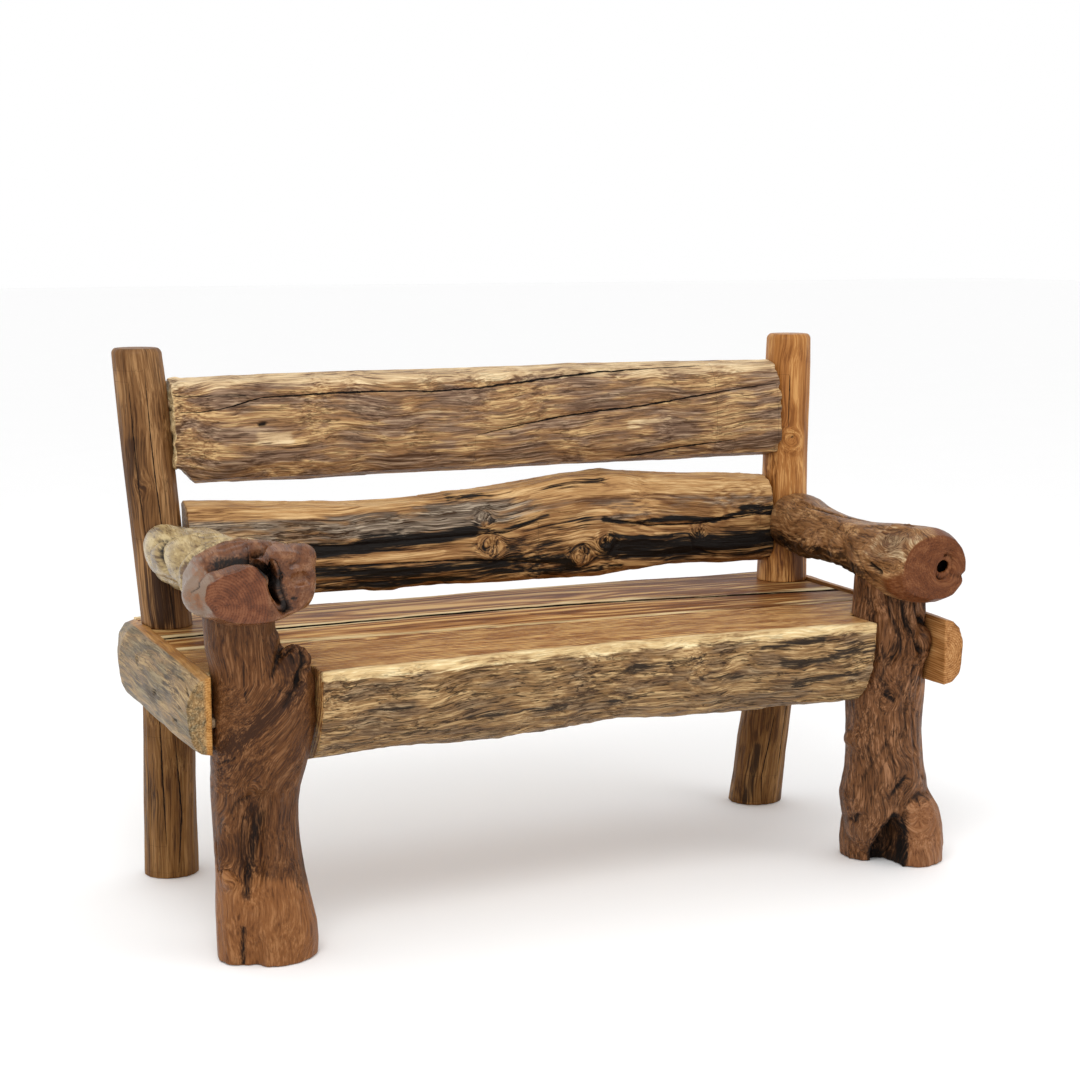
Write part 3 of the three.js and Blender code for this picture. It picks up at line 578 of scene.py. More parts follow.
# %% The side rails
def rail(node, seed, outside, strokes):
    """outside is the side that the bare log is on: -1 for the left and 1 for the right."""
    piece, p, n = working_copy(node, POLE_VOXEL, rounds=3)
    low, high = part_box(node)
    middle = (low.z + high.z) / 2 / MM
    inner = (high.x if outside < 0 else low.x) / MM
    pith = [(-320, inner, middle), (300, inner, middle + 5)]
    grain = grain_of(p, "y", pith, swirl=0.006, seed=seed, reach=0.12)
    face = ramp(n[:, 0] * outside, 0.1, 0.5)
    torn = 1.2 * field(grain, (0.10, 0.018, 0.018), seed, 3)
    push(piece, (torn + 1.2 * field(p, (0.06, 0.06, 0.05), seed + 1, 1)) * face)
    hollow = carve(piece, "left" if outside < 0 else "right", strokes)
    front_end = ramp(-n[:, 1], 0.5, 0.8) * ramp(-p[:, 1], 0.20, 0.22)
    if outside < 0:
        face = np.maximum(face, 0.9 * front_end * ramp(high.x - p[:, 0], 0.007, 0.013))
    blotches = 0.6 * face * ramp(field(p, (0.04, 0.06, 0.03), seed + 4, 2), 0.0, 1.0)
    finish_piece(piece, node, "rail_wood", grain=grain, skin=face, hollow=hollow, char=blotches)


rail("side_rail_left", seed=61, outside=-1, strokes=[
    ([(-60, 395), (-48, 392)], 6, 2, 0.7), ([(60, 420), (75, 424)], 4, 1.5, 0.5),
    ([(-180, 375), (-160, 372)], 3, 1.5, 0.6), ([(-215, 430), (-235, 424)], 2.5, 1.5, 0.7),
    ([(-200, 400), (-236, 392)], 2, 1.2, 0.6),
])
rail("side_rail_right", seed=62, outside=1, strokes=[([(-60, 400), (-48, 402)], 5, 2, 0.5)])

# %% [markdown]
# ## Root wood
# The front legs are roots turned upright and polished: the grain swirls, old wounds stay as dark
# scars, and burls stand out with folded bark in them. These are carved stroke by stroke.

# %% The left front leg
leg, p, n = working_copy("front_leg_left", ROOT_VOXEL, rounds=24, lumps=[
    ((-520, -262, 470), (24, 18, 24)), ((-618, -246, 140), (15, 12, 15)),
])
leg_knots = [((-584, -270, 283), (0, -1, 0), 14, 10), ((-623, -247, 138), (-0.5, -1, 0), 14, 10)]
leg_pith = [(0, -575, -215), (280, -575, -215), (420, -560, -215), (580, -560, -210)]
leg_grain = grain_of(p, "z", leg_pith, leg_knots, swirl=0.016, seed=71)
lean_from, lean_to = 0.27, 0.44
leg_grain[:, 1] -= 0.8 * (np.clip(p[:, 2], lean_from, lean_to) - lean_from)
push(leg, 0.9 * field(leg_grain, (0.16, 0.024, 0.024), 72, 3)
     + 0.4 * field(leg_grain, (0.06, 0.010, 0.010), 73, 2))
leg_hollow = carve(leg, "front", [
    # the long scar low down, and its raised lips
    ([(-580, 262), (-588, 225), (-596, 175), (-598, 142)], 19, 8, 0.42),
    ([(-576, 240), (-584, 200), (-590, 160), (-600, 115)], 9, 5, 0.78),
    ([(-550, 268), (-554, 215), (-560, 170), (-573, 125), (-590, 92)], 7, -5),
    ([(-606, 275), (-622, 235), (-629, 190), (-628, 152)], 7, -5),
    ([(-606, 275), (-590, 291), (-566, 287), (-550, 268)], 7, -4),
    ([(-600, 235), (-603, 205), (-602, 170)], 4, 2.5, 0.55),
    ([(-590, 268), (-612, 262), (-622, 245)], 4, 2.5, 0.6),
    # the burl at the right, with bark folded into it
    ([(-556, 452), (-546, 478), (-532, 490), (-516, 497)], 4.5, 4.5, 0.85),
    ([(-506, 486), (-506, 462), (-514, 440)], 9, 9, 1),
    ([(-522, 500), (-506, 502), (-494, 480), (-496, 450)], 6, -5),
    ([(-560, 470), (-548, 500), (-530, 512)], 7, -3),
    ([(-514, 440), (-524, 424), (-540, 405)], 5, 4, 0.7),
    ([(-530, 484), (-524, 470)], 5, 3.5, 0.8),
    ([(-548, 430), (-536, 424), (-522, 420)], 4, 2.5, 0.7),
    ([(-540, 455), (-535, 440)], 10, -3, 0.2),
    # nicks, checks and swellings
    ([(-632, 318), (-612, 330)], 2.5, 1.6, 0.7),
    ([(-640, 300), (-628, 312)], 2.5, 1.6, 0.5),
    ([(-605, 62), (-604, 30), (-604, 2)], 5, 3.5, 0.85),
    ([(-598, 475), (-599, 440), (-596, 415)], 2, 1.2, 0.7),
    ([(-612, 470), (-613, 450)], 1.8, 1, 0.5),
    ([(-560, 300), (-545, 250), (-540, 160)], 8, -1.5),
    ([(-584, 290), (-577, 276)], 9, -4.5),
    ([(-626, 146), (-620, 130)], 9, -4.5),
    ([(-520, 120), (-512, 112)], 2.5, 1.2, 0.6),
])
leg_stain = stain(p, n, "front", [
    ([(-515, 430), (-560, 395), (-600, 365), (-640, 330)], 20, 0.75), ([(-530, 470), (-520, 440)], 20, 0.65),
    ([(-590, 235), (-600, 150)], 20, 0.7), ([(-640, 300), (-600, 320)], 12, 0.5),
])
blotches = 0.35 * ramp(field(p, (0.05, 0.05, 0.12), 74, 2), 0.0, 1.0) * ramp(p[:, 2], 0.09, 0.16)
foot = -p[:, 2] + 0.015 * field(p, (0.03, 0.03, 0.05), 75, 2) - 0.25 * (p[:, 0] + 0.57)
finish_piece(leg, "front_leg_left", "root_wood", grain=leg_grain, skin=np.ones(len(p)), hollow=leg_hollow,
             pale=ramp(foot, -0.165, -0.105), char=np.maximum(leg_stain, blotches))

# %% The right front leg
leg, p, n = working_copy("front_leg_right", ROOT_VOXEL, rounds=16, lumps=[
    ((616, -240, 400), (20, 20, 26)), ((512, -190, 232), (18, 22, 18)),
])
leg_knots = [((542, -245, 314), (-0.2, -1, 0), 14, 14), ((583, -246, 156), (0, -1, 0), 14, 10),
             ((501, -184, 224), (-1, -0.5, 0), 15, 12), ((618, -247, 100), (0.3, -1, 0.6), 34, 16)]
leg_pith = [(0, 600, -190), (150, 585, -190), (300, 560, -190), (556, 560, -190)]
leg_grain = grain_of(p, "z", leg_pith, leg_knots, swirl=0.018, seed=81)
flutes = ramp(p[:, 2], 0.30, 0.40) * ramp(-n[:, 1], -0.2, 0.3)
flute_width = 0.0046
push(leg, 1.5 * field(leg_grain, (0.14, 0.022, 0.022), 82, 3)
     + 0.6 * field(leg_grain, (0.05, 0.010, 0.010), 83, 2)
     + flutes * 2.6 * np.sin(p[:, 0] / flute_width + 3 * field(p, (0.06, 0.06, 0.12), 85, 1)))
leg_hollow = carve(leg, "front", [
    # the deep folds below the arm
    ([(520, 500), (522, 460), (516, 420), (520, 380)], 4, 3, 0.6),
    ([(546, 490), (548, 455), (556, 425), (548, 400), (540, 370)], 5, 4, 0.7),
    ([(566, 490), (570, 455), (580, 425), (592, 400), (600, 392)], 7, 6.5, 0.9),
    ([(590, 480), (594, 455), (604, 440)], 4, 3.5, 0.7),
    ([(604, 446), (614, 436), (626, 434)], 5, 4.5, 1),
    ([(596, 395), (612, 392), (622, 400)], 4, 3, 0.6),
    ([(556, 428), (560, 412), (556, 396)], 5, 3, 0.7),
    ([(528, 400), (534, 370), (530, 345), (545, 322)], 6, 4, 0.7),
    ([(540, 318), (552, 308)], 6, 4.5, 1),
    # the folds round the waist, which run down into the two toes
    ([(556, 345), (570, 320), (576, 290)], 4, 2.5, 0.5),
    ([(572, 300), (580, 262), (570, 238)], 4, 3, 0.6),
    ([(590, 300), (594, 250), (602, 210)], 3, 2, 0.4),
    ([(556, 252), (535, 215), (518, 180), (512, 150)], 4, 3, 0.6),
    ([(566, 246), (548, 205), (532, 170), (528, 130)], 3, 2.5, 0.5),
    ([(522, 250), (515, 225), (522, 200)], 4, 3, 0.6),
    ([(584, 168), (572, 152), (562, 140)], 6, 3.5, 0.9),
    ([(592, 150), (585, 138)], 4, 2.5, 0.6),
    ([(545, 232), (560, 190), (572, 140), (576, 112)], 3.5, 2.5, 0.6),
    ([(600, 205), (612, 180), (628, 160)], 3.5, 2.5, 0.5),
    ([(575, 225), (590, 195), (598, 170)], 2.5, 2, 0.5),
    ([(604, 380), (606, 340), (602, 310)], 3, 2.5, 0.5),
    ([(534, 340), (530, 300), (536, 270)], 3, 2.5, 0.5),
    ([(586, 380), (584, 350), (590, 322)], 3, 2.5, 0.5),
    # the toes
    ([(516, 95), (515, 80)], 5, 3, 0.9),
    ([(512, 60), (513, 12)], 2.5, 2, 0.5),
    ([(594, 112), (600, 124), (618, 130), (640, 128)], 4, 3, 0.5),
    ([(592, 100), (590, 60), (592, 20)], 4, 3, 0.6),
    ([(614, 124), (618, 112)], 2, 1.5, 0.8),
    # swellings
    ([(534, 470), (534, 440)], 6, -2.5),
    ([(614, 420), (610, 402)], 9, -5),
    ([(560, 330), (562, 300)], 6, -2.5),
])
# painted shade: the faces inside the arch between the two toes are painted near black through the hollow mark
arch_centre, arch_radii = np.array([0.574, -0.2155, 0.030]), np.array([0.024, 0.060, 0.066])
arch_shade = 1 - ramp(np.linalg.norm((p - arch_centre) / arch_radii, axis=1), 1.06, 1.25)
arch_shade = arch_shade * (0.85 + 0.25 * field(p, (0.008, 0.01, 0.03), 87, 2))
toe = ramp(-p[:, 2], -0.124, -0.112) * ramp(p[:, 0], 0.590, 0.604) * 0.95
blotches = 0.30 * ramp(field(p, (0.05, 0.05, 0.12), 84, 2), -0.2, 0.9)
finish_piece(leg, "front_leg_right", "root_wood", grain=leg_grain, skin=np.ones(len(p)),
             hollow=np.maximum(leg_hollow, arch_shade), pale=toe, char=blotches)

# %% [markdown]
# ## Arms
# Each arm is a short bent log with a burl at its front, sawn across so that the rings show. The
# left burl has split: a cleft runs over its top and down its face, and the wood to the right of it
# is a rim with a polished scoop. The cleft, the crevice and the rim's front wall are painted dark, as painted
# shade.

# %% The left arm
arm, p, _ = working_copy("arm_left", ROOT_VOXEL, rounds=20, lumps=[
    ((-650, -262, 580), (36, 38, 34)), ((-632, -100, 604), (42, 66, 40)), ((-638, 25, 602), (36, 84, 40)),
    ((-634, -40, 600), (40, 90, 36)), ((-518, -274, 622), (30, 36, 28)), ((-513, -278, 596), (24, 32, 46)),
    ((-510, -280, 630), (22, 26, 20)), ((-580, -235, 612), (60, 30, 34)),
])
# the stub in front of the cleft is lower than the rim behind it, and the crevice lies between
stub = ramp(-p[:, 1], 0.262, 0.276) * ramp(-p[:, 0], 0.560, 0.572)
p[:, 2] -= np.clip(p[:, 2] - 0.590, 0, None) * 0.28 * stub
crevice = bell(p[:, 1] + 0.262, 0.011) * ramp(-p[:, 0], 0.553, 0.563) * (1 - ramp(-p[:, 0], 0.628, 0.662))
crevice = crevice * ramp(p[:, 2], 0.586, 0.602)
p[:, 2] -= 0.042 * crevice
move_points(arm, p)
n = normals_of(arm)
arm_pith = [(-308, -646, 564), (-240, -640, 575), (-150, -640, 590), (170, -610, 585)]
arm_grain = grain_of(p, "y", arm_pith, swirl=0.003, seed=91)
rear = ramp(p[:, 1], -0.225, -0.185)
face = ramp(-n[:, 1], 0.6, 0.9) * ramp(-p[:, 1], 0.285, 0.300) * ramp(-p[:, 0], 0.562, 0.574)
push(arm, (0.3 + 3.6 * rear) * (1 - face) * field(p, (0.045, 0.050, 0.035), 92, 2)
     + 0.6 * rear * field(p, (0.02, 0.02, 0.01), 93, 2))
left_end = -p[:, 0] + 0.006 * field(p, (0.02, 0.02, 0.02), 101, 1)
# painted shade: the rim's front wall over the undercut crevice is painted near black through the hollow mark,
# and so are the crevice and the cleft
rim = ramp(-n[:, 1], -0.1, 0.3) * ramp(p[:, 1], -0.274, -0.266) * (1 - ramp(p[:, 1], -0.232, -0.218))
rim = rim * ramp(-p[:, 0], 0.545, 0.560) * (1 - ramp(left_end, 0.622, 0.660))
rim = rim * (1 - ramp(p[:, 2], 0.624, 0.640))
cleft = distance_to(p, "front", [(-578, 616), (-560, 607), (-552, 588), (-546, 570), (-540, 558)])
cleft = bell(cleft, 0.009) * (1 - face) * ramp(-p[:, 1], 0.20, 0.23)
arm_hollow = carve(arm, "front", [
    ([(-572, 622), (-562, 604), (-556, 586), (-550, 568), (-542, 554)], 7.5, 13, 1),
    ([(-560, 622), (-552, 606)], 9, 6, 0.9),
    # painted shade: the scoop is darkened a little
    ([(-527, 600), (-514, 602)], 9, 8, 0.10),
    ([(-532, 614), (-514, 617), (-501, 606), (-505, 590), (-524, 587)], 4, -3.5),
    ([(-536, 622), (-526, 625)], 3, 3, 0.5),
    ([(-548, 632), (-528, 636), (-508, 632)], 6, -3),
    ([(-533, 573), (-527, 572)], 2.5, 3, 1),
])
arm_hollow = carve(arm, "left", [
    ([(-20, 650), (-50, 625), (-75, 600), (-95, 570), (-100, 550)], 7, 7, 0.85),
    ([(-283, 606), (-290, 596), (-284, 588)], 2.2, 1.4, 0.7),
    ([(-190, 640), (-205, 610), (-200, 575)], 8, 6, 0.45),
    ([(-150, 620), (-160, 590), (-140, 575)], 6, 3, 0.25),
], arm_hollow)
arm_hollow = carve(arm, "top", [
    ([(-665, -20), (-620, -60), (-590, -75)], 7, 5, 0.7),
    ([(-650, -150), (-625, -105), (-600, -140)], 10, 5, 0.2),
    ([(-585, -180), (-610, -200), (-650, -205)], 7, 5, 0.6),
], arm_hollow)
left_cheek = ramp(-p[:, 0] + 0.006 * field(p, (0.02, 0.02, 0.02), 94, 2), 0.640, 0.662)
finish_piece(arm, "arm_left", "root_wood", grain=arm_grain, skin=1 - face, pale=rear,
             hollow=np.maximum.reduce([arm_hollow, cleft, crevice, 0.95 * rim]),
             char=(1 - rear) * (1 - face) * left_cheek * 0.75)

# %% [markdown]
# The right burl is one round head. Its sawn face is red and smooth with a deep eye in it, its
# left cheek is a flat patch of pale curly grain, and the neck behind is rough below.

# %% The right arm
arm, p, n = working_copy("arm_right", ROOT_VOXEL, rounds=20, lumps=[
    ((545, -10, 552), (34, 42, 26)), ((548, -95, 552), (32, 36, 26)), ((640, -268, 552), (30, 34, 30)),
])
arm_pith = [(-310, 590, 545), (-200, 570, 560), (0, 575, 580), (180, 590, 585)]
arm_knots = [((612, -307, 540), (0, -1, 0), 24, 16), ((540, -262, 588), (-1, -0.6, 0.2), 26, 12)]
arm_grain = grain_of(p, "y", arm_pith, arm_knots, swirl=0.012, seed=95, reach=0.07)
head = ramp(-p[:, 1], 0.19, 0.235)
under = ramp(-n[:, 2], -0.15, 0.4) * (1 - head)
face = ramp(-n[:, 1], 0.6, 0.9) * ramp(-p[:, 1], 0.280, 0.296)
push(arm, (1.0 - 0.4 * head) * (1 - face) * field(arm_grain, (0.14, 0.020, 0.020), 96, 3)
     + under * 2.4 * field(p, (0.016, 0.016, 0.014), 97, 2)
     + 2.5 * (1 - face) * field(p, (0.07, 0.07, 0.06), 99, 1))
arm_hollow = carve(arm, "front", [
    ([(604, 532), (614, 542), (617, 556)], 9, 18, 1),
    ([(622, 531), (640, 526), (655, 530)], 5, 5, 0.5),
    ([(612, 566), (622, 574)], 4, 3, 0.4),
    ([(560, 498), (600, 492)], 14, 3),
])
arm_hollow = carve(arm, "left", [
    ([(-275, 590), (-245, 594), (-225, 588)], 20, 6, 0.05),
    ([(-205, 570), (-225, 605), (-260, 618), (-300, 612)], 5, -3.5),
    ([(-212, 562), (-245, 552), (-285, 556)], 5, -3.5),
    ([(-232, 546), (-248, 541), (-262, 536)], 5, 5.5, 1),
    ([(-180, 560), (-200, 540), (-230, 520)], 5, 3, 0.5),
    ([(60, 556), (30, 552), (-10, 556)], 4, 3, 0.6),
    ([(-60, 560), (-90, 552), (-120, 556)], 4, 3, 0.6),
    ([(-140, 570), (-165, 560), (-190, 552)], 4, 3, 0.5),
    ([(120, 590), (60, 596), (-40, 590), (-120, 582)], 3, 2, 0.4),
    ([(110, 604), (40, 610), (-60, 602)], 3, 1.5, 0.3),
], arm_hollow)
arm_hollow = carve(arm, "top", [
    ([(560, 60), (568, -60), (580, -160), (590, -210)], 3, 3, 0.7),
    ([(592, 40), (598, -60), (604, -150)], 3, 2, 0.5),
    ([(575, -205), (592, -235), (600, -262)], 4, 4, 0.9),
    ([(545, -120), (552, -200), (570, -280)], 8, -2.5),
], arm_hollow)
above_jaw = ramp(p[:, 2] - 0.9 * (p[:, 0] - 0.545), 0.552, 0.566)
red = np.maximum(face, head * ramp(-p[:, 1], 0.255, 0.275) * (1 - above_jaw))
pits = under * ramp(field(p, (0.02, 0.02, 0.02), 98, 2), 0.1, 0.9) * 0.8
cheek = head * (1 - face) * ramp(-n[:, 0], 0.1, 0.5) * ramp(p[:, 2], 0.553, 0.566)
curls = np.clip(0.55 + 0.35 * field(p, (0.018, 0.018, 0.018), 100, 2), 0, 1)
finish_piece(arm, "arm_right", "root_wood", grain=arm_grain, skin=1 - red,
             hollow=np.maximum(arm_hollow, pits), pale=cheek * (1 - red) * curls, char=0.7 * under)

# %% [markdown]
# ## Wood in layers
# Every wood here is built from the same few effects, each a node group: the figure of the wood
# (rings, fibres, patches, flecks and cracks), its tint, a layer that wears through along the
# grain, and the check lines. Below, g makes the nodes of a group and m those of a material.

# %% Helpers for nodes
class Nodes:
    def __init__(self, tree):
        self.tree = tree

    def feed(self, socket, value):
        if isinstance(value, bpy.types.NodeSocket):
            self.tree.links.new(value, socket)
        else:
            socket.default_value = value

    def add(self, kind, settings=None, **inputs):
        """An input is given by its name, or as i0, i1 and so on by its place."""
        node = self.tree.nodes.new(kind)
        for key, value in (settings or {}).items():
            setattr(node, key, value)
        for key, value in inputs.items():
            by_place = key[0] == "i" and key[1:].isdigit()
            self.feed(node.inputs[int(key[1:]) if by_place else key.replace("_", " ")], value)
        return node

    def math(self, operation, a, b=0.0, clamp=False):
        return self.add("ShaderNodeMath", {"operation": operation, "use_clamp": clamp}, i0=a, i1=b).outputs[0]

    def times(self, a, b):
        return self.math("MULTIPLY", a, b)

    def plus(self, a, b, clamp=False):
        return self.math("ADD", a, b, clamp)

    def minus(self, a, b):
        return self.math("SUBTRACT", a, b)

    def vector(self, operation, a, b):
        return self.add("ShaderNodeVectorMath", {"operation": operation}, i0=a, i1=b)

    def scaled(self, vector, amount):
        node = self.add("ShaderNodeVectorMath", {"operation": "SCALE"}, i0=vector)
        self.tree.links.new(amount, node.inputs["Scale"])
        return node.outputs[0]

    def noise(self, vector, scale, detail=2.0, roughness=0.5, distortion=0.0):
        return self.add("ShaderNodeTexNoise", None, Vector=vector, Scale=scale, Detail=detail,
                        Roughness=roughness, Distortion=distortion)

    def span(self, value, low, high, to_low=0.0, to_high=1.0):
        node = self.add("ShaderNodeMapRange", {"interpolation_type": "SMOOTHSTEP"}, Value=value)
        for name, number in (("From Min", low), ("From Max", high), ("To Min", to_low), ("To Max", to_high)):
            self.feed(node.inputs[name], number)
        return node.outputs[0]

    def mix(self, factor, a, b):
        node = self.add("ShaderNodeMix", {"data_type": "RGBA"})
        for place, value in ((0, factor), (6, a), (7, b)):
            self.feed(node.inputs[place], value)
        return node.outputs[2]


def new_group(name, inputs, outputs):
    """It gives the group, its node maker, its input sockets and its output sockets."""
    tree = bpy.data.node_groups.new(name, "ShaderNodeTree")
    for label, kind, default in inputs:
        socket = tree.interface.new_socket(label, in_out="INPUT", socket_type=kind)
        if default is not None:
            socket.default_value = default
    for label, kind in outputs:
        tree.interface.new_socket(label, in_out="OUTPUT", socket_type=kind)
    given = tree.nodes.new("NodeGroupInput").outputs
    return tree, Nodes(tree), given, tree.nodes.new("NodeGroupOutput").inputs


# %% The figure of the wood
VALUE, VECTOR, COLOUR = "NodeSocketFloat", "NodeSocketVector", "NodeSocketColor"

figure, g, given, result = new_group("wood figure", [
    ("Grain", VECTOR, None), ("Ring Spacing", VALUE, 0.004), ("Waviness", VALUE, 0.006),
    ("Fibre Length", VALUE, 0.12),
], [("Rings", VALUE), ("Fibres", VALUE), ("Patches", VALUE), ("Flecks", VALUE), ("Cracks", VALUE)])
slow = g.vector("MULTIPLY", given["Grain"], (5.0, 22.0, 22.0)).outputs[0]
wander = g.vector("SUBTRACT", g.noise(slow, 1.0, 3.0, 0.5).outputs["Color"], (0.5, 0.5, 0.5)).outputs[0]
bent = g.vector("ADD", given["Grain"], g.scaled(wander, given["Waviness"])).outputs[0]
off_pith = g.vector("MULTIPLY", bent, (0.0, 1.0, 1.0)).outputs[0]
off_pith = g.add("ShaderNodeVectorMath", {"operation": "LENGTH"}, i0=off_pith).outputs["Value"]
turns = g.math("DIVIDE", off_pith, given["Ring Spacing"])
rings = g.math("SINE", g.times(turns, 2 * math.pi))
rings = g.plus(g.times(rings, 0.5), 0.5)
parts = g.add("ShaderNodeSeparateXYZ", None, Vector=bent)
along = g.math("DIVIDE", parts.outputs[0], given["Fibre Length"])


def streaks(lengthwise, crosswise, detail, roughness, distortion=0.0):
    """Noise drawn out along the grain: cells per fibre length, and per metre across it."""
    place = g.add("ShaderNodeCombineXYZ", None, X=g.times(along, lengthwise),
                  Y=g.times(parts.outputs[1], crosswise), Z=g.times(parts.outputs[2], crosswise))
    return g.noise(place.outputs[0], 1.0, detail, roughness, distortion).outputs["Fac"]


fine = g.span(streaks(1.6, 380.0, 3.0, 0.6), 0.33, 0.67)
medium = g.span(streaks(1.0, 150.0, 4.0, 0.65), 0.33, 0.67)
fibres = g.plus(g.times(fine, 0.55), g.times(medium, 0.45))
patches = g.span(streaks(1.0, 45.0, 4.0, 0.6, 0.3), 0.34, 0.66)
flecks = g.span(streaks(2.6, 240.0, 3.0, 0.6, 0.5), 0.56, 0.66)
crack = g.math("ABSOLUTE", g.minus(streaks(0.8, 60.0, 4.0, 0.6), 0.5))
cracks = g.times(g.span(crack, 0.004, 0.022, 1.0, 0.0), g.span(streaks(0.6, 25.0, 2.0, 0.5), 0.42, 0.60))
for label, value in (("Rings", g.math("POWER", rings, 1.6)), ("Fibres", fibres),
                     ("Patches", patches), ("Flecks", flecks), ("Cracks", cracks)):
    g.tree.links.new(value, result[label])

# %% The tint, a layer over it, and the check lines
tint, g, given, result = new_group("wood tint", [
    ("Dark", COLOUR, None), ("Middle", COLOUR, None), ("Light", COLOUR, None), ("Tone", VALUE, 0.5),
], [("Colour", COLOUR)])
colour = g.mix(g.span(given["Tone"], 0.12, 0.5), given["Dark"], given["Middle"])
colour = g.mix(g.span(given["Tone"], 0.5, 0.88), colour, given["Light"])
g.tree.links.new(colour, result["Colour"])

layer, g, given, result = new_group("weathered layer", [
    ("Colour", COLOUR, None), ("Layer Colour", COLOUR, None),
    ("Mark", VALUE, 0.0), ("Breakup", VALUE, 0.5), ("Softness", VALUE, 0.3),
], [("Colour", COLOUR)])
level = g.minus(1.0, given["Mark"])
cover = g.span(given["Breakup"], g.minus(level, given["Softness"]), g.plus(level, given["Softness"]))
cover = g.times(cover, g.span(given["Mark"], 0.0, 0.25))
g.tree.links.new(g.mix(cover, given["Colour"], given["Layer Colour"]), result["Colour"])

lines, g, given, result = new_group("check lines", [
    ("Checks", VECTOR, None), ("Grain", VECTOR, None), ("Ragged", VALUE, 0.8),
], [("Line", VALUE)])
stretched = g.vector("MULTIPLY", given["Grain"], (60.0, 200.0, 200.0)).outputs[0]
shake = g.times(g.minus(g.noise(stretched, 1.0, 2.0, 0.6).outputs["Fac"], 0.5), given["Ragged"])
parts = g.add("ShaderNodeSeparateXYZ", None, Vector=given["Checks"])
deepest = None
for k in range(MOST_CHECKS):
    value = g.math("ABSOLUTE", g.plus(parts.outputs[k], g.times(shake, 2.0)))
    line = g.span(value, 0.5, 1.2, 1.0, 0.0)
    deepest = line if deepest is None else g.math("MAXIMUM", deepest, line)
g.tree.links.new(deepest, result["Line"])
print("node groups:", [t.name for t in bpy.data.node_groups])

# %% [markdown]
# One maker builds each wood from those groups. The marks carved into a piece choose where its
# pale sapwood, its charring and its dark hollows lie; the char mark also lays painted shade low on
# the posts, and the hollow mark lays painted shade in joints, crevices and arches. The shader itself stays in
# the material.

# %% The maker of woods
DEEP_SHADE = (0.006, 0.003, 0.002, 1.0)


def wood(name, sawn, skin=None, pale=None, char=(0.012, 0.008, 0.006), weather=None, weather_amount=0.0,
         ring=0.004, waviness=0.006, fibre=0.12, ring_share=0.3, patch_share=0.35, flecks=0.5, rough=0.42,
         bump=0.5, depth=0.0014, specular=0.14, marks=True):
    """sawn, skin, pale and weather are each a dark, a middle and a light tone, and char is one.

    ring and fibre are in metres. A share says how much rings or patches count in the tone."""
    material = bpy.data.materials.new(name)
    material.use_nodes = True
    tree = material.node_tree
    m = Nodes(tree)
    shader = tree.nodes["Principled BSDF"]
    shader.inputs["Specular IOR Level"].default_value = specular

    def group(which, **inputs):
        return m.add("ShaderNodeGroup", {"node_tree": which}, **inputs).outputs

    def read(label, output="Fac"):
        return m.add("ShaderNodeAttribute", {"attribute_name": label}).outputs[output]

    def tones(three, tone):
        dark, middle, light = ((*rgb, 1.0) for rgb in three)
        return group(tint, Dark=dark, Middle=middle, Light=light, Tone=tone)["Colour"]

    grain = read("grain", "Vector") if marks else tree.nodes.new("ShaderNodeTexCoord").outputs["Object"]
    fig = group(figure, Grain=grain, Ring_Spacing=ring, Waviness=waviness, Fibre_Length=fibre)
    even = m.plus(m.times(fig["Fibres"], 1.0 - patch_share), m.times(fig["Patches"], patch_share))
    tone = m.plus(even, m.times(m.minus(0.4, fig["Rings"]), ring_share), True)
    colour = tones(sawn, tone)
    height = m.plus(m.times(fig["Fibres"], 0.8), m.times(fig["Patches"], 0.5))
    gloss = m.span(fig["Fibres"], 0.0, 1.0, rough - 0.06, rough + 0.10)
    if marks:
        on_skin = read("skin")
        if skin is not None:
            colour = m.mix(on_skin, colour, tones(skin, even))
        if weather is not None:
            colour = group(layer, Colour=colour, Layer_Colour=tones(weather, fig["Fibres"]),
                           Mark=m.times(on_skin, weather_amount), Breakup=m.minus(1.0, fig["Patches"]),
                           Softness=0.45)["Colour"]
        if pale is not None:
            colour = group(layer, Colour=colour, Layer_Colour=tones(pale, even), Mark=read("pale"),
                           Breakup=even, Softness=0.3)["Colour"]
        open_grain = m.math("MAXIMUM", fig["Flecks"], fig["Cracks"])
        fleck = m.times(m.times(open_grain, on_skin), flecks)
        if pale is not None:
            fleck = m.times(fleck, m.minus(1.0, m.times(read("pale"), 0.75)))
        colour = m.mix(fleck, colour, (*[c * 0.3 for c in (skin or sawn)[0]], 1.0))
        # the char layer is charring, and on the two posts it also lays painted shade low down
        colour = group(layer, Colour=colour, Layer_Colour=(*char, 1.0), Mark=read("char"),
                       Breakup=m.minus(1.0, even), Softness=0.25)["Colour"]
        line = group(lines, Checks=read("checks", "Vector"), Grain=grain, Ragged=1.2)["Line"]
        ragged = m.plus(read("hollow"), m.times(m.minus(fig["Fibres"], 0.5), -0.5))
        deep = m.math("MAXIMUM", line, m.span(ragged, 0.15, 1.0))
        colour = m.mix(deep, colour, DEEP_SHADE)
        height = m.minus(height, m.plus(m.times(fleck, 0.9), m.times(line, 2.0)))
        gloss = m.plus(gloss, m.times(deep, 0.35), True)
    tree.links.new(colour, shader.inputs["Base Color"])
    tree.links.new(gloss, shader.inputs["Roughness"])
    bumps = m.add("ShaderNodeBump", None, Strength=bump, Distance=depth, Height=height)
    tree.links.new(bumps.outputs[0], shader.inputs["Normal"])
    print("wood:", name)
    return material


# %% Put each wood on its pieces
def wear(material, *names):
    """Puts a material on carved pieces, or on the frame's own nodes where there is no carved one."""
    for name in names:
        target = pieces.get(name) or nodes[name]
        target.data.materials.clear()
        target.data.materials.append(material)


SEAT = ((0.150, 0.048, 0.011), (0.38, 0.172, 0.053), (0.65, 0.40, 0.155))
SAPWOOD = ((0.42, 0.25, 0.105), (0.66, 0.47, 0.23), (0.84, 0.68, 0.39))
ROOT = ((0.046, 0.015, 0.004), (0.106, 0.039, 0.011), (0.200, 0.088, 0.034))

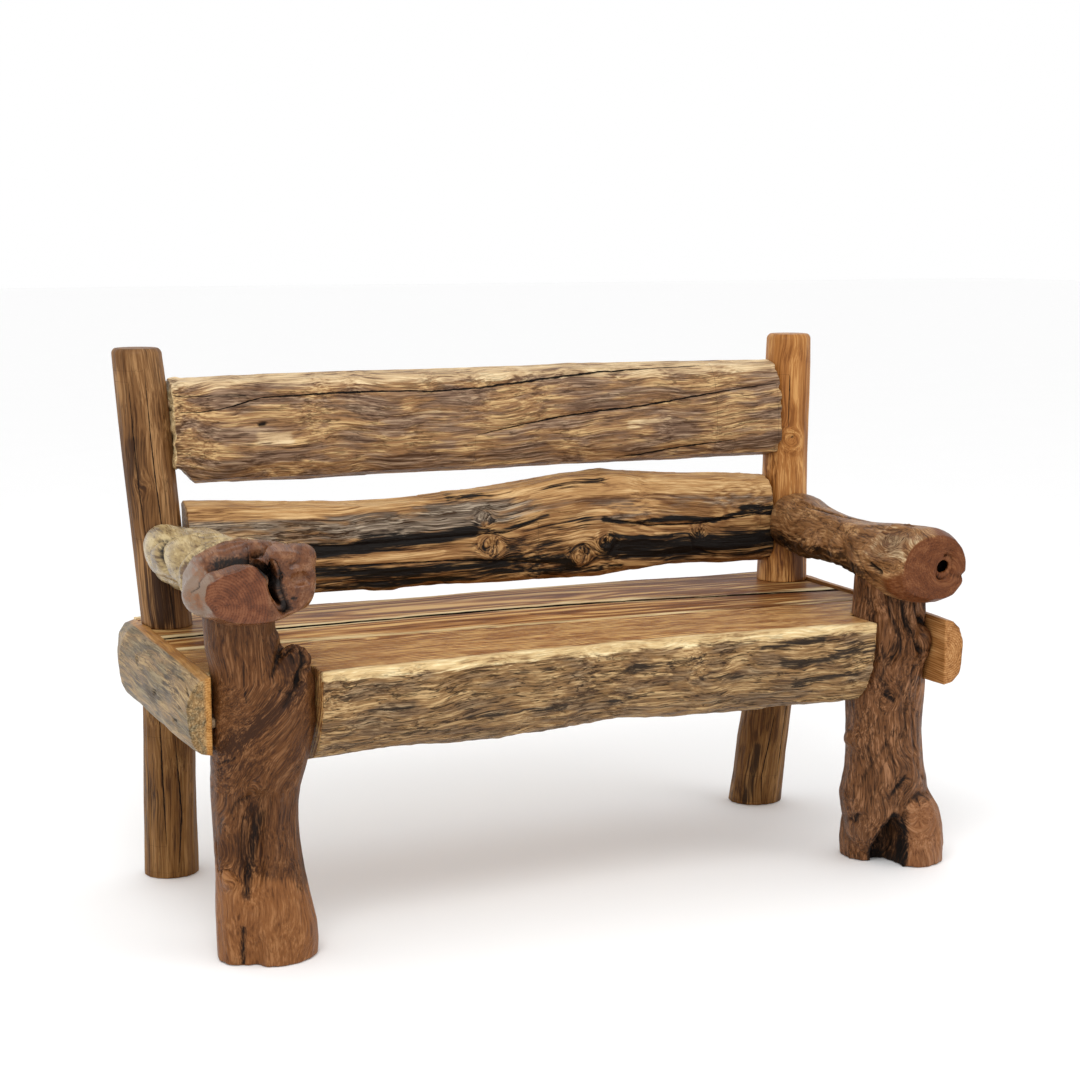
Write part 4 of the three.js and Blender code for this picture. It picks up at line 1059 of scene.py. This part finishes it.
wear(wood("front slab", SEAT, skin=((0.070, 0.029, 0.009), (0.245, 0.134, 0.052), (0.53, 0.350, 0.165)),
          pale=SAPWOOD, char=(0.030, 0.018, 0.010),
          weather=((0.085, 0.045, 0.022), (0.18, 0.108, 0.054), (0.34, 0.235, 0.130)), weather_amount=0.38,
          fibre=0.09, ring=0.009, ring_share=0.5, flecks=0.85, bump=0.9, depth=0.002), "seat_slab_front")
wear(wood("seat planks", SEAT, pale=SAPWOOD, char=(0.150, 0.050, 0.013), fibre=0.35, ring=0.009,
          ring_share=0.55, patch_share=0.5, flecks=0.0, bump=0.2, specular=0.05),
     "seat_plank_middle", "seat_plank_rear")
wear(wood("upper back", SAPWOOD, skin=((0.105, 0.043, 0.015), (0.30, 0.158, 0.067), (0.62, 0.41, 0.190)),
          pale=((0.34, 0.20, 0.098), (0.56, 0.39, 0.215), (0.76, 0.59, 0.35)), char=(0.075, 0.035, 0.015),
          weather=((0.095, 0.050, 0.030), (0.20, 0.120, 0.074), (0.38, 0.26, 0.165)), weather_amount=0.46,
          fibre=0.13, flecks=0.55, bump=0.9, depth=0.002), "back_slab_upper")
wear(wood("lower back", ((0.12, 0.048, 0.016), (0.27, 0.132, 0.048), (0.49, 0.285, 0.115)),
          pale=((0.24, 0.118, 0.046), (0.46, 0.255, 0.100), (0.68, 0.45, 0.215)), char=(0.007, 0.005, 0.004),
          weather=((0.070, 0.048, 0.033), (0.19, 0.142, 0.100), (0.42, 0.34, 0.25)), weather_amount=0.9,
          fibre=0.15, flecks=0.9, bump=0.9, depth=0.002), "back_slab_lower")
# a post's char colour is also the colour of its painted shade low down
wear(wood("right post", ((0.21, 0.072, 0.014), (0.340, 0.138, 0.034), (0.54, 0.275, 0.090)),
          char=(0.090, 0.029, 0.006), fibre=0.22, ring=0.012, flecks=0.25, rough=0.40, bump=0.25),
     "back_post_right")
wear(wood("left post", ((0.070, 0.026, 0.006), (0.165, 0.075, 0.025), (0.31, 0.165, 0.066)),
          char=(0.038, 0.015, 0.005), fibre=0.22, ring=0.012, rough=0.44, bump=0.4), "back_post_left")
wear(wood("rear legs", ((0.070, 0.025, 0.004), (0.165, 0.072, 0.018), (0.28, 0.142, 0.048)),
          char=(0.040, 0.017, 0.005), fibre=0.22, ring=0.012, rough=0.48), "rear_leg_left", "rear_leg_right")
wear(wood("left rail", ((0.25, 0.102, 0.022), (0.40, 0.185, 0.046), (0.52, 0.275, 0.088)),
          skin=((0.12, 0.062, 0.020), (0.24, 0.145, 0.060), (0.42, 0.29, 0.14)), char=(0.060, 0.036, 0.017),
          weather=((0.085, 0.058, 0.028), (0.170, 0.122, 0.062), (0.30, 0.235, 0.135)), weather_amount=0.50,
          flecks=0.6, bump=0.6), "side_rail_left")
wear(wood("right rail", ((0.19, 0.070, 0.016), (0.34, 0.150, 0.046), (0.48, 0.25, 0.095)),
          skin=((0.13, 0.046, 0.012), (0.28, 0.125, 0.038), (0.46, 0.25, 0.10)), char=(0.06, 0.028, 0.010),
          fibre=0.20, flecks=0.3, bump=0.4), "side_rail_right")
wear(wood("left root", ROOT, pale=((0.130, 0.046, 0.012), (0.205, 0.078, 0.023), (0.31, 0.140, 0.052)),
          char=(0.038, 0.013, 0.004), fibre=0.07, ring=0.012, waviness=0.010, ring_share=0.10,
          patch_share=0.25, flecks=0.6, rough=0.38, bump=0.6), "front_leg_left")
wear(wood("right root", ((0.054, 0.019, 0.005), (0.138, 0.055, 0.019), (0.290, 0.138, 0.064)),
          pale=((0.150, 0.054, 0.018), (0.230, 0.094, 0.036), (0.34, 0.165, 0.076)),
          char=(0.042, 0.015, 0.005), fibre=0.07, ring=0.012, waviness=0.010, ring_share=0.10,
          patch_share=0.25, flecks=0.7, rough=0.38, bump=0.7), "front_leg_right")
wear(wood("left burl", ((0.070, 0.018, 0.004), (0.120, 0.033, 0.009), (0.175, 0.060, 0.022)),
          skin=((0.075, 0.023, 0.007), (0.130, 0.045, 0.015), (0.22, 0.100, 0.046)),
          pale=((0.15, 0.100, 0.048), (0.33, 0.235, 0.108), (0.50, 0.385, 0.195)), char=(0.20, 0.132, 0.090),
          fibre=0.06, ring=0.0042, waviness=0.0012, ring_share=0.32, patch_share=0.60, flecks=0.25,
          rough=0.30, bump=0.25, specular=0.3), "arm_left")
wear(wood("right burl", ((0.078, 0.021, 0.005), (0.122, 0.036, 0.010), (0.19, 0.070, 0.025)),
          skin=((0.070, 0.027, 0.009), (0.220, 0.102, 0.038), (0.43, 0.245, 0.11)),
          pale=((0.14, 0.083, 0.040), (0.31, 0.205, 0.110), (0.52, 0.38, 0.22)), char=(0.045, 0.021, 0.008),
          fibre=0.07, ring=0.006, waviness=0.008, ring_share=0.12, flecks=0.6, rough=0.36), "arm_right")
wear(wood("bearer wood", ((0.20, 0.11, 0.05), (0.33, 0.20, 0.10), (0.46, 0.31, 0.17)), marks=False, bump=0.3),
     "seat_bearer_left", "seat_bearer_centre", "seat_bearer_right")
wear(wood("peg wood", ((0.30, 0.19, 0.10), (0.42, 0.28, 0.16), (0.55, 0.40, 0.24)), marks=False, bump=0.2),
     *[name for name in nodes if "dowel" in name])

# %% [markdown]
# ## Screws
# The screws are hidden in the seat, and are plain zinc steel with a faint cloudy dullness.

# %% Screw steel
steel = bpy.data.materials.new("screw steel")
steel.use_nodes = True
m = Nodes(steel.node_tree)
shader = steel.node_tree.nodes["Principled BSDF"]
shader.inputs["Metallic"].default_value = 1.0
where = steel.node_tree.nodes.new("ShaderNodeTexCoord").outputs["Object"]
cloud = m.noise(where, 400.0, 3.0).outputs["Fac"]
tint_of_zinc = m.mix(cloud, (0.42, 0.43, 0.45, 1), (0.62, 0.63, 0.64, 1))
steel.node_tree.links.new(tint_of_zinc, shader.inputs["Base Color"])
steel.node_tree.links.new(m.span(cloud, 0.3, 0.7, 0.3, 0.5), shader.inputs["Roughness"])
wear(steel, *[name for name in nodes if name.startswith("seat_screw")])

# %% [markdown]
# ## Studio
# A pale floor, a bright even sky of white card, and two big soft lamps, high in front.

# %% Floor, light and camera
bpy.ops.object.select_all(action="DESELECT")
FLOOR_SIDE, FLOOR_GAP = 60, 0.0005
bpy.ops.mesh.primitive_plane_add(size=FLOOR_SIDE, location=(0, 10, -FLOOR_GAP))
floor = bpy.context.object
floor.name = "floor"
floor_paint = bpy.data.materials.new("pale floor")
floor_paint.use_nodes = True
m = Nodes(floor_paint.node_tree)
where = floor_paint.node_tree.nodes.new("ShaderNodeTexCoord").outputs["Object"]
mottle = m.noise(where, 3.0, 3.0).outputs["Fac"]
shader = floor_paint.node_tree.nodes["Principled BSDF"]
near_white = m.mix(mottle, (0.965, 0.965, 0.965, 1), (0.98, 0.98, 0.98, 1))
floor_paint.node_tree.links.new(near_white, shader.inputs["Base Color"])
shader.inputs["Roughness"].default_value = 0.8
floor.data.materials.append(floor_paint)
floor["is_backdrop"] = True

world = bpy.data.worlds.new("white card")
bpy.context.scene.world = world
world.use_nodes = True
sky = world.node_tree.nodes["Background"]
sky.inputs["Color"].default_value = (1, 1, 1, 1)
sky.inputs["Strength"].default_value = 1.0


def lamp(name, place, target, size, power):
    data = bpy.data.lights.new(name, "AREA")
    data.size = size
    data.energy = power
    light = bpy.data.objects.new(name, data)
    light.location = place
    light.rotation_euler = (Vector(target) - Vector(place)).to_track_quat("-Z", "Y").to_euler()
    bpy.context.scene.collection.objects.link(light)


lamp("key", place=(-1.4, -2.2, 3.4), target=(0, 0, 0.4), size=1.6, power=60)
lamp("fill", place=(2.4, -2.2, 2.0), target=(0, 0, 0.4), size=2.0, power=14)
bpy.context.scene.view_settings.view_transform = "Standard"

camera_data = bpy.data.cameras.new("view")
camera_data.sensor_width = 36
camera_data.lens = 68.27
camera = bpy.data.objects.new("view", camera_data)
camera.location = (-1.3800, -3.1666, 1.1019)
camera.rotation_euler = (math.radians(81.5), 0, math.radians(-23.5))
bpy.context.scene.collection.objects.link(camera)
bpy.context.scene.camera = camera

# %% Sizes, and the end
visual_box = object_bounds()
sizes = {"cad": [list(corner) for corner in cad_box], "visual": [list(corner) for corner in visual_box]}
for name, (low, high) in sizes.items():
    print(name, [round(b - a, 4) for a, b in zip(low, high)])
